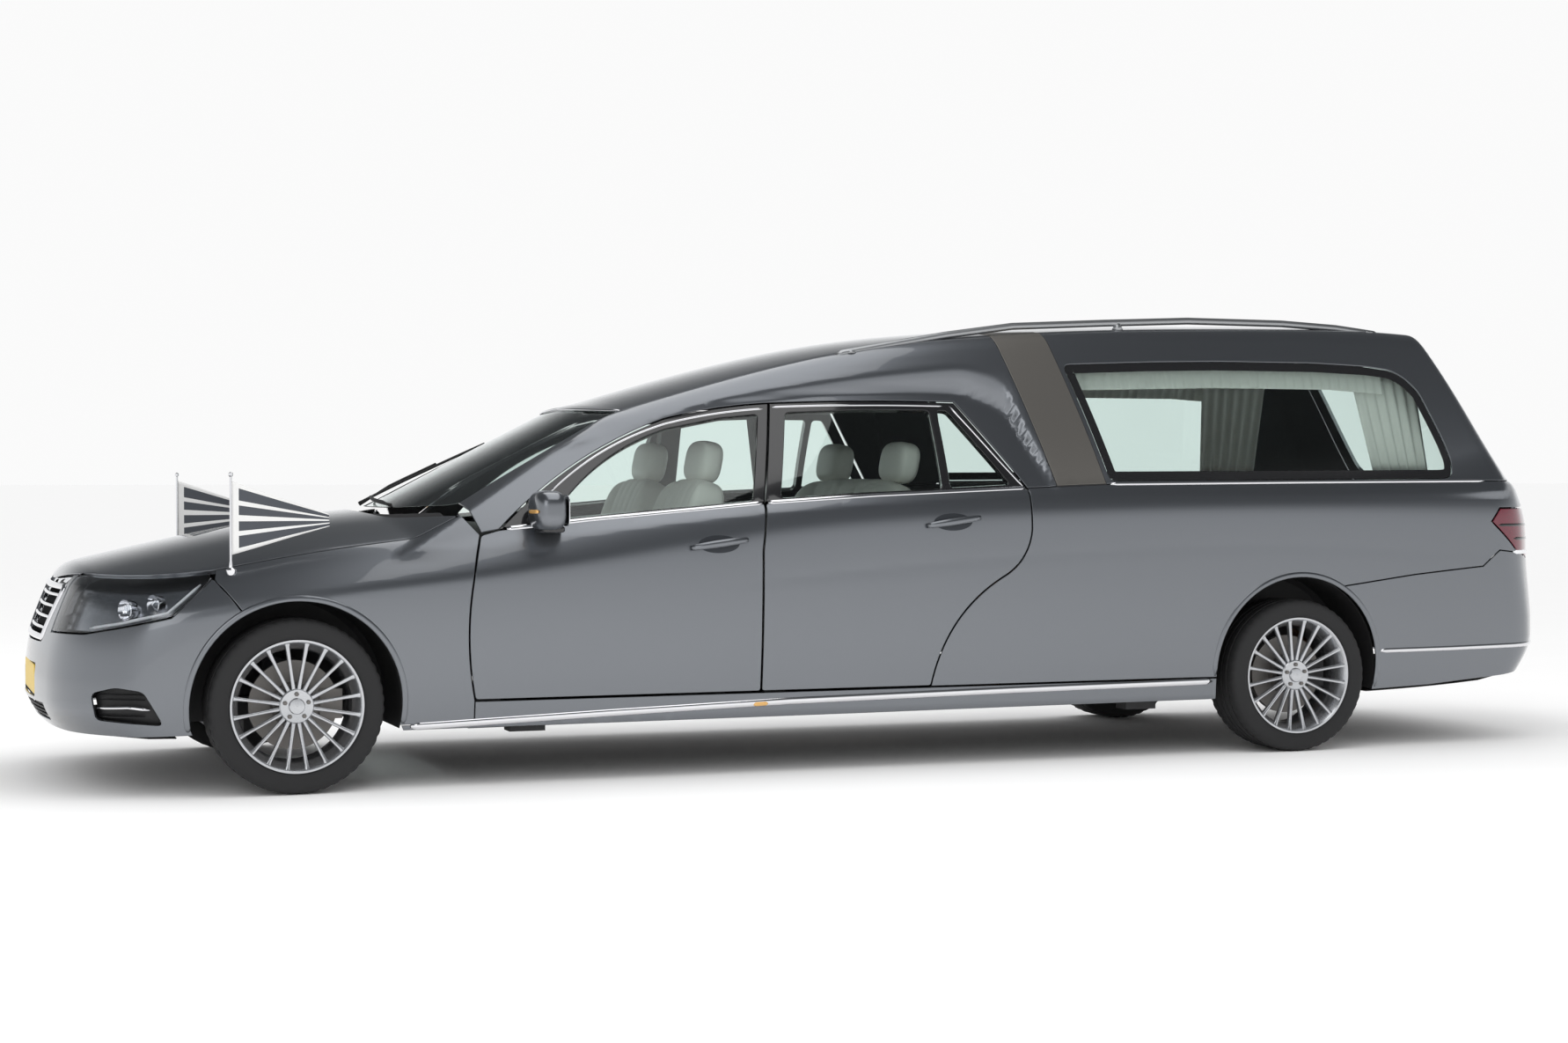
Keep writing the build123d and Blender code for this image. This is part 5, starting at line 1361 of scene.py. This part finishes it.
for sign, name in SIDES:
    u, v = np.meshgrid(np.linspace(0, 1, FLAG_COLUMNS), np.linspace(0, 1, FLAG_ROWS), indexing="ij")
    half = (FLAG_HIGH - FLAG_LOW) / 2 * (1 - u) + FLAG_TIP / 2 * u
    middle = (FLAG_LOW + FLAG_HIGH) / 2 - 0.010 * u
    wave = 0.012 * np.sin(u * 8.2 + v * 1.2) * u + 0.004 * np.sin(v * 7.0) * u
    points = np.stack([AXLE_F - STAFF_S - 0.004 - FLAG_L * u, sign * STAFF_Y + wave,
                       middle + half * (2 * v - 1)], -1)
    front = points.reshape(-1, 3) + (0, FLAG_T / 2, 0)
    back = points.reshape(-1, 3) - (0, FLAG_T / 2, 0)
    count = len(front)
    faces = []
    for i in range(FLAG_COLUMNS - 1):
        for j in range(FLAG_ROWS - 1):
            a, b = i * FLAG_ROWS + j, (i + 1) * FLAG_ROWS + j
            faces.append((a, a + 1, b + 1, b))
            faces.append((count + a, count + b, count + b + 1, count + a + 1))
    rim = ([i * FLAG_ROWS for i in range(FLAG_COLUMNS)]
           + [(FLAG_COLUMNS - 1) * FLAG_ROWS + j for j in range(1, FLAG_ROWS)]
           + [i * FLAG_ROWS + FLAG_ROWS - 1 for i in range(FLAG_COLUMNS - 2, -1, -1)]
           + [j for j in range(FLAG_ROWS - 2, 0, -1)])
    for a, b in zip(rim, rim[1:] + rim[:1]):
        faces.append((a, b, count + b, count + a))
    flag = new_piece(f"pennant_{name}", np.concatenate([front, back]), faces, None, (CLOTH,))
    layer = flag.data.uv_layers.new(name="UVMap")
    flat_uv = np.stack([u, v], -1).reshape(-1, 2)
    for corner in flag.data.loops:
        layer.data[corner.index].uv = flat_uv[corner.vertex_index % count]
    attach(flag, "body")
    if sign > 0:
        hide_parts("pennants")

# Seats: foam pads under stitched cream leather on steel frames, two in front and a bench behind.
# Each has a cushion with side bolsters, a raked back and a headrest on two rods.
LEATHER = material("cream_leather", (0.86, 0.84, 0.80), 0.48, 0.0, 0.06, 240.0, rough_vary=0.15, bump=0.0006)
SEAT_RAKE = math.radians(18)


def pad_shape(width, flutes):
    """Bolsters at both edges and shallow stitched lines between, on the face that is sat on."""
    def shape(points):
        face = np.clip(points[:, 2] * 30, 0, 1)
        edge = np.clip(np.abs(points[:, 0]) / (width / 2) - 0.62, 0, 0.38) / 0.38
        lift = 0.028 * np.sin(edge * math.pi / 1.6)
        lines = np.linspace(-0.6, 0.6, flutes) * width / 2
        groove = sum(np.exp(-((points[:, 0] - line) / 0.008) ** 2) for line in lines) * 0.010
        return points + stack(0.0, 0.0, face * (lift - groove * (edge < 0.05)))
    return shape


def seat(name, x, y, width, heads, node):
    shape = pad_shape(width, 5 if width < 0.8 else 9)
    sideways = (0.0, 0.0, -math.pi / 2)
    base = put(soft_box(f"{name}_cushion", (width, 0.53, 0.19), 4.5, LEATHER, 44, shape),
               (x + 0.01, y, 0.465), sideways)
    back = put(soft_box(f"{name}_back", (width, 0.66, 0.15), 4.5, LEATHER, 44, shape), (0, 0, 0), sideways)
    back = put(back, (x - 0.335, y, 0.835), (0.0, math.pi / 2 - SEAT_RAKE, 0.0))
    parts = [base, back]
    for spot in heads:
        parts.append(put(soft_box(f"{name}_head_{spot}", (0.11, 0.27, 0.175), 3.2, LEATHER, 24),
                         (x - 0.452, y + spot, 1.225), (0.0, -SEAT_RAKE * 0.6, 0.0)))
        for rod in (-0.06, 0.06):
            ends = [(x - 0.405, y + spot + rod, 1.06), (x - 0.445, y + spot + rod, 1.18)]
            parts.append(tube(f"{name}_rod_{spot}_{rod}", ends, 0.006, CHROME, 8))
    parts.append(put(soft_box(f"{name}_foot", (0.50, width * 0.8, 0.10), 10, LINING, 10), (x, y, 0.335)))
    made = joined(name, parts)
    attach(made, "body")
    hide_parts(node)


seat("seat_pad_left", AXLE_F - 1.290, 0.370, 0.520, (0.0,), "seat_left")
seat("seat_pad_right", AXLE_F - 1.290, -0.370, 0.520, (0.0,), "seat_right")
seat("bench_pad", AXLE_F - 2.160, 0.0, 1.240, (0.37, -0.37), "rear_bench")

# Door cards: moulded dark panels with a cream leather armrest, clipped to the inside of each door.
# The card follows the door's outline a little inside its edge.
CARD = material("door_card", (0.16, 0.155, 0.15), 0.65, 0.0, 0.1, 300.0, bump=0.0004)
for sign, name in SIDES:
    for kind, s in (("front", 1.300), ("rear", 2.230)):
        rim = shrink(DOOR_LOOP[kind], 0.050)
        card = panel(f"card_{kind}_{name}", SIDE, [rim], 0.006, 0.0, (CARD,), sink=0.036, grid=0.04,
                     flip=sign)
        place, _ = SIDE.cast(flat_side([(s, 0.760)]), 0.060)
        rest = put(soft_box(f"armrest_{kind}_{name}", (0.56, 0.070, 0.085), 4, LEATHER, 20),
                   place[0] * (1, sign, 1))
        pull, _ = SIDE.cast(flat_side([(s - 0.16, 0.880), (s - 0.05, 0.890), (s + 0.06, 0.880)]), 0.062)
        bar = tube(f"pull_{kind}_{name}", pull * (1, sign, 1), 0.010, CHROME, 10)
        trim_piece = joined(f"door_card_{kind}_{name}", [card, rest, bar])
        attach(trim_piece, f"door_{kind}_{name}")

# Load space: a varnished deck with steel runners, white curtains gathered at the rear of the side windows
# and a pleated valance along their tops, hung on hidden rails.
WOOD = bpy.data.materials.new("deck_wood")
WOOD.use_nodes = True
wood_tree = WOOD.node_tree
wood_shader = wood_tree.nodes["Principled BSDF"]
wood_shader.inputs["Roughness"].default_value = 0.32
wood_base = Shade(wood_tree)
wood_place = wood_base.node("ShaderNodeTexCoord", output="Object")
wood_stretch = wood_base.node("ShaderNodeMapping", {}, {"Vector": wood_place, "Scale": (1.2, 14.0, 14.0)})
wood_grain = wood_base.node("ShaderNodeTexNoise", {}, {"Vector": wood_stretch, "Scale": 3.0, "Detail": 6.0})
wood_colour = wood_base.node("ShaderNodeMix", {"data_type": "RGBA"},
                             {0: wood_grain, 6: (0.075, 0.035, 0.018, 1.0), 7: (0.30, 0.17, 0.09, 1.0)}, 2)
wood_tree.links.new(wood_colour.socket, wood_shader.inputs["Base Color"])
deck = frame["nodes"]["load_deck"]
deck.data.materials.clear()
deck.data.materials.append(WOOD)
runners = []
for y in (-0.400, -0.140, 0.140, 0.400):
    run = [(AXLE_F - s, y, 0.7905) for s in np.linspace(2.900, 5.400, 30)]
    up = np.tile((0.0, 0.0, 1.0), (len(run), 1))
    runners.append(strip(f"runner_{y}", run, up, 0.030, 0.006, CHROME, 7, -0.001))
runner = joined("deck_runners", runners)
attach(runner, "body")
CURTAIN = material("curtain_cloth", (0.80, 0.79, 0.76), 0.9, 0.0, 0.05, 500.0, bump=0.0004)
CURTAIN_T = 0.0016


def curtain(name, top, low, pleat, pitch):
    """Pleated cloth between an upper and a lower run of points, of a small thickness, folds facing inward."""
    top, low = np.asarray(top), np.asarray(low)
    length = np.concatenate([[0], np.cumsum(np.linalg.norm(np.diff(top, axis=0), axis=1))])
    rows = 14
    layers = []
    for shift in (0.0, CURTAIN_T):
        for k in range(rows):
            t = k / (rows - 1)
            fold = 1 + np.sin(length * 2 * math.pi / pitch + 0.6 * t)
            depth = pleat * (0.55 + 0.45 * t) * fold / 2 + shift
            line = top * (1 - t) + low * t
            line[:, 1] -= np.sign(line[:, 1]) * depth
            layers.append(line)
    count = len(top)
    vertices = np.concatenate(layers)
    faces = []
    inner = rows * count
    for k in range(rows - 1):
        for i in range(count - 1):
            a = k * count + i
            faces.append((a, a + 1, a + count + 1, a + count))
            faces.append((inner + a, inner + a + count, inner + a + count + 1, inner + a + 1))
    rim = (list(range(count)) + [k * count + count - 1 for k in range(1, rows)]
           + [(rows - 1) * count + i for i in range(count - 2, -1, -1)]
           + [k * count for k in range(rows - 2, 0, -1)])
    for a, b in zip(rim, rim[1:] + rim[:1]):
        faces.append((a, inner + a, inner + b, b))
    made = new_piece(name, vertices, faces, None, (CURTAIN,))
    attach(made, "body")


for sign, name in SIDES:
    flip = np.array((1, sign, 1))
    line = open_dense([(3.260, 1.622), (3.930, 1.640), (4.500, 1.640), (4.780, 1.622)], 0.008)
    top, _ = SIDE.cast(flat_side(line), 0.062)
    low, _ = SIDE.cast(flat_side(line - (0, 0.095)), 0.062)
    curtain(f"valance_{name}", top * flip, low * flip, 0.012, 0.045)
    line = open_dense([(4.640, 1.630), (4.980, 1.630)], 0.006)
    top, _ = SIDE.cast(flat_side(line - (0, 0.02)), 0.080)
    low, _ = SIDE.cast(flat_side(np.stack([line[:, 0] * 0.86 + 0.70, np.full(len(line), 1.195)], 1)), 0.080)
    curtain(f"curtain_{name}", top * flip, low * flip, 0.024, 0.055)

# Cabin: a moulded dashboard in dark grey with a padded top, and a leather-rimmed steering wheel.
# The wheel has three spokes and turns on its column behind the instrument hood.
CABIN_TRIM = material("cabin_trim", (0.055, 0.054, 0.053), 0.6, 0.0, 0.15, 300.0, rough_vary=0.15,
                      bump=0.0004)
dash_box = np.array(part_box("dashboard"))
dash_size = dash_box[1] - dash_box[0]
dash_middle = (dash_box[0] + dash_box[1]) / 2


def dash_shape(points):
    high = np.clip(points[:, 2] / dash_size[2] + 0.5, 0, 1)
    back = np.clip(0.5 - points[:, 0] / dash_size[0], 0, 1)
    lean = 0.10 * dash_size[0] * (1 - high) * back
    return points + stack(lean, 0.0, -0.06 * dash_size[2] * back ** 2 * high)


dash = [put(soft_box("dash_body", dash_size * (1.0, 1.0, 0.98), 9, CABIN_TRIM, 40, dash_shape), dash_middle)]
dash.append(put(soft_box("dash_binnacle", (0.16, 0.36, 0.09), 3.5, CABIN_TRIM, 24),
                (dash_box[0][0] + 0.10, 0.370, dash_box[1][2] - 0.048)))
dash.append(put(soft_box("dash_strip", (0.012, dash_size[1] * 0.94, 0.030), 6, GLOSS_BLACK, 16),
                (dash_box[0][0] + 0.004, 0.0, dash_middle[2] + 0.25 * dash_size[2])))
for y in (-0.50, -0.14, 0.14):
    dash.append(put(soft_box(f"dash_vent_{y}", (0.012, 0.13, 0.05), 6, CHROME, 10),
                    (dash_box[0][0] + 0.004, y, dash_middle[2] + 0.12 * dash_size[2])))
dash_piece = joined("dashboard_unit", dash)
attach(dash_piece, "body")
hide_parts("dashboard")
steer = JOINT["steering_wheel_turn"]
steer_centre = np.array(steer["pos_m"])
steer_axis = np.array(steer["axis"]) / np.linalg.norm(steer["axis"])
steer_up = np.cross(steer_axis, (0.0, 1.0, 0.0))
steer_side = np.cross(steer_up, steer_axis)
WHEEL_R = 0.180
RIM_STEPS = 64
GRIP_STEPS = 14
turn = np.linspace(0, 2 * math.pi, RIM_STEPS, endpoint=False)
grip = np.linspace(0, 2 * math.pi, GRIP_STEPS, endpoint=False)
ring_points = []
for angle in turn:
    ray = math.cos(angle) * steer_up + math.sin(angle) * steer_side
    ring_points += [steer_centre + ray * (WHEEL_R + 0.015 * math.cos(g)) + steer_axis * 0.013 * math.sin(g)
                    for g in grip]
ring_faces = []
for i in range(RIM_STEPS):
    here, there = i * GRIP_STEPS, (i + 1) % RIM_STEPS * GRIP_STEPS
    for k in range(GRIP_STEPS):
        j = (k + 1) % GRIP_STEPS
        ring_faces.append((here + k, there + k, there + j, here + j))
steering = [new_piece("steering_ring", ring_points, ring_faces, None, (CABIN_TRIM,))]
for angle in (math.radians(90), math.radians(-90), math.radians(180)):
    ray = math.cos(angle) * steer_up + math.sin(angle) * steer_side
    path = [steer_centre + ray * r - steer_axis * 0.012 * (1 - r / WHEEL_R) for r in (0.03, 0.09, 0.178)]
    steering.append(tube(f"steering_spoke_{angle:.1f}", path, [0.020, 0.014, 0.012], CABIN_TRIM, 12, 0.6))
boss = [(0.001, -0.055), (0.040, -0.055), (0.062, -0.030), (0.066, -0.008), (0.050, 0.006), (0.001, 0.010)]
steering.append(lathe("steering_boss", boss, steer_centre, steer_axis, CABIN_TRIM, 40, False))
steering_piece = joined("steering_unit", steering)
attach(steering_piece, "steering_wheel")
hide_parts("steering_wheel")

# Small fittings: a blank yellow plate on a dark plinth, two wipers and side marker lamps.
# They are screwed, clipped or pushed into the panels behind them.
PLATE = material("plate_yellow", (0.80, 0.55, 0.05), 0.4, 0.0, 0.03, 100.0)
PLATE_MIDDLE = 0.400
nose_x = AHEAD.cast([(0.0, PLATE_MIDDLE)])[0][0][0]
plate_h = PLATE_HIGH - PLATE_LOW
plates = [put(soft_box("plate_plinth", (0.010, 2 * PLATE_Y + 0.02, plate_h + 0.02), 14, TRIM, 12),
              (nose_x - 0.024, 0.0, PLATE_MIDDLE)),
          put(soft_box("plate_face", (0.006, 2 * PLATE_Y - 0.012, plate_h - 0.012), 20, PLATE, 12),
              (nose_x - 0.017, 0.0, PLATE_MIDDLE))]
plate = joined("number_plate", plates)
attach(plate, "body")
wipers = []
for start, end in (((0.330, 1.046), (-0.260, 1.075)), ((-0.330, 1.046), (-0.620, 1.300))):
    run, out = AHEAD.cast(open_dense([start, end], 0.05))
    wipers.append(tube(f"wiper_blade_{start[0]}", run + out * 0.012, 0.006, TRIM, 8))
    arm = np.concatenate([run[:1] + out[:1] * 0.004, run[2:-3] + out[2:-3] * 0.020])
    wipers.append(tube(f"wiper_arm_{start[0]}", arm, 0.005, TRIM, 8))
wiper = joined("wipers", wipers)
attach(wiper, "body")
markers = []
for sign in (1, -1):
    flip = np.array((1, sign, 1))
    run, out = SIDE.cast(open_dense(flat_side([(1.775, 0.277), (1.835, 0.279)]), 0.01))
    markers.append(strip(f"marker_{sign}", (run + out * 0.006) * flip, out * flip, 0.018, 0.004, INDICATOR,
                         7))
marker = joined("side_markers", markers)
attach(marker, "body")

# Wheel housings and undertrays: black moulded plastic shells screwed inside the arches and under both ends.
# They keep water and stones off the body and close the view past the tyres.
HOUSING_R = 0.394
housings = []
for centre_s, centre_z, in_y, out_y in ((0.0, AXLE_Z, 0.478, 0.845), (REAR_S, REAR_WELL_Z, 0.606, 0.862)):
    for sign in (1, -1):
        curve = np.radians(np.linspace(-14, 194, 60))
        rows = [(HOUSING_R, out_y), (HOUSING_R, in_y + 0.02), (HOUSING_R - 0.02, in_y), (0.250, in_y),
                (0.250, in_y - 0.004), (HOUSING_R - 0.018, in_y - 0.004), (HOUSING_R + 0.004, in_y + 0.018),
                (HOUSING_R + 0.004, out_y)]
        vertices = [(AXLE_F - centre_s - r * math.cos(a), sign * y, centre_z + r * math.sin(a))
                    for a in curve for r, y in rows]
        faces = swept_faces(len(curve), len(rows))
        housing = new_piece(f"housing_{centre_s}_{sign}", vertices, faces, None, (TRIM,))
        housing.data.set_sharp_from_angle(angle=math.radians(40))
        housings.append(housing)
BELOW = Chart(lambda f: (stack(f[:, 0], f[:, 1], 0.6), stack(0.0, 0.0, -np.ones(len(f)))),
              lambda p: p[:, :2], 0.6)
TRAYS = [
    [(-0.420, 0.0), (-0.420, 0.780), (-0.520, 0.770), (-0.660, 0.600), (-0.745, 0.400), (-0.775, 0.0)],
    [(4.640, 0.0), (4.640, 0.780), (5.250, 0.740), (5.480, 0.620), (5.570, 0.400), (5.600, 0.0)],
]
for tray in TRAYS:
    half = np.array(tray)
    loop = np.concatenate([half[1:], half[::-1] * (1, -1)])[:-1]
    housings.append(panel(f"tray_{tray[0][0]}", BELOW, [dense(flat_side(loop), 0.03)], 0.004, 0.0, (TRIM,),
                          sink=0.004, grid=0.04))
housing_piece = joined("wheel_housings", housings)
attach(housing_piece, "body")

# Underbody and running gear: painted and bare steel that the panels hide, kept as the solids of the part.
# Floor, bulkhead, engine block, axles, uprights and hinges get dull metal finishes, the posts black trim
# and the exhaust a warmer metal.
UNDER = material("under_steel", (0.050, 0.050, 0.052), 0.75, 0.3, 0.3, 30.0, rough_vary=0.2)
PIPE = material("exhaust_steel", (0.36, 0.34, 0.32), 0.35, 0.9, 0.15, 60.0, rough_vary=0.2)
FINISHES = {
    UNDER: ["floor_pan", "bulkhead", "engine", "front_axle", "rear_axle", "door_hinges"],
    TRIM: ["b_posts"], IRON: ["upright_left", "upright_right"], PIPE: ["exhaust"],
}
for finish, nodes in FINISHES.items():
    for node in nodes:
        solid = frame["nodes"][node].data
        solid.materials.clear()
        solid.materials.append(finish)

# Studio: a pale floor under a large soft overhead light and a side light, with a bright horizon
# and a darker ceiling for the paint to reflect.
# The camera stands where the photograph was taken.
floor_finish = material("studio_floor", (0.97, 0.97, 0.97), 1.0, 0.0, 0.01, 2.0, Specular_IOR_Level=0.0)
FLOOR = 400
floor_mesh = new_piece("studio_floor", [(-FLOOR, -FLOOR, 0), (FLOOR, -FLOOR, 0), (FLOOR, FLOOR, 0),
                                        (-FLOOR, FLOOR, 0)], [(0, 1, 2, 3)], None, (floor_finish,))
world = bpy.data.worlds.new("studio")
bpy.context.scene.world = world
world.use_nodes = True
sky_tree = world.node_tree
sky = Shade(sky_tree)
sky_place = sky.node("ShaderNodeTexCoord", output="Generated")
sky_split = sky.node("ShaderNodeSeparateXYZ", {}, {0: sky_place}, 2)
sky_height = sky.node("ShaderNodeMapRange", {"interpolation_type": "SMOOTHSTEP"},
                      {"Value": sky_split, "From Min": 0.10, "From Max": 0.42, "To Min": 0.0, "To Max": 1.0})
sky_colour = sky.node("ShaderNodeMix", {"data_type": "RGBA"},
                      {0: sky_height, 6: (0.93, 0.94, 0.95, 1.0), 7: (0.09, 0.095, 0.10, 1.0)}, 2)
sky_ray = sky.node("ShaderNodeLightPath", output="Is Glossy Ray")
sky_seen = sky.node("ShaderNodeMix", {"data_type": "RGBA"},
                    {0: sky_ray, 6: (0.96, 0.96, 0.96, 1.0), 7: sky_colour}, 2)
sky_tree.links.new(sky_seen.socket, sky_tree.nodes["Background"].inputs["Color"])
sky_tree.nodes["Background"].inputs["Strength"].default_value = 1.0


def softbox(name, place, aim, width, length, power):
    lamp = bpy.data.lights.new(name, "AREA")
    lamp.shape = "RECTANGLE"
    lamp.size = width
    lamp.size_y = length
    lamp.energy = power
    made = bpy.data.objects.new(name, lamp)
    bpy.context.scene.collection.objects.link(made)
    made.location = place
    made.rotation_euler = (Vector(aim) - Vector(place)).to_track_quat("-Z", "Y").to_euler()
    return made


overhead = softbox("overhead", (0.3, 0.4, 5.5), (0.3, 0.0, 0.0), 3.0, 9.0, 130.0)
key = softbox("key", (6.0, 9.0, 5.0), (0.5, 0.0, 0.6), 5.0, 5.0, 120.0)
YAW = math.radians(20.32)
PITCH = math.radians(-1.0)
camera = bpy.data.cameras.new("camera")
camera.sensor_width = 36.0
camera.lens = 57.76
eye = bpy.data.objects.new("camera", camera)
bpy.context.scene.collection.objects.link(eye)
eye.location = (3.916, 10.147, 1.163)
look = Vector((-math.sin(YAW) * math.cos(PITCH), -math.cos(YAW) * math.cos(PITCH), math.sin(PITCH)))
eye.rotation_euler = look.to_track_quat("-Z", "Y").to_euler()
bpy.context.scene.camera = eye
bpy.context.scene.view_settings.view_transform = "Standard"
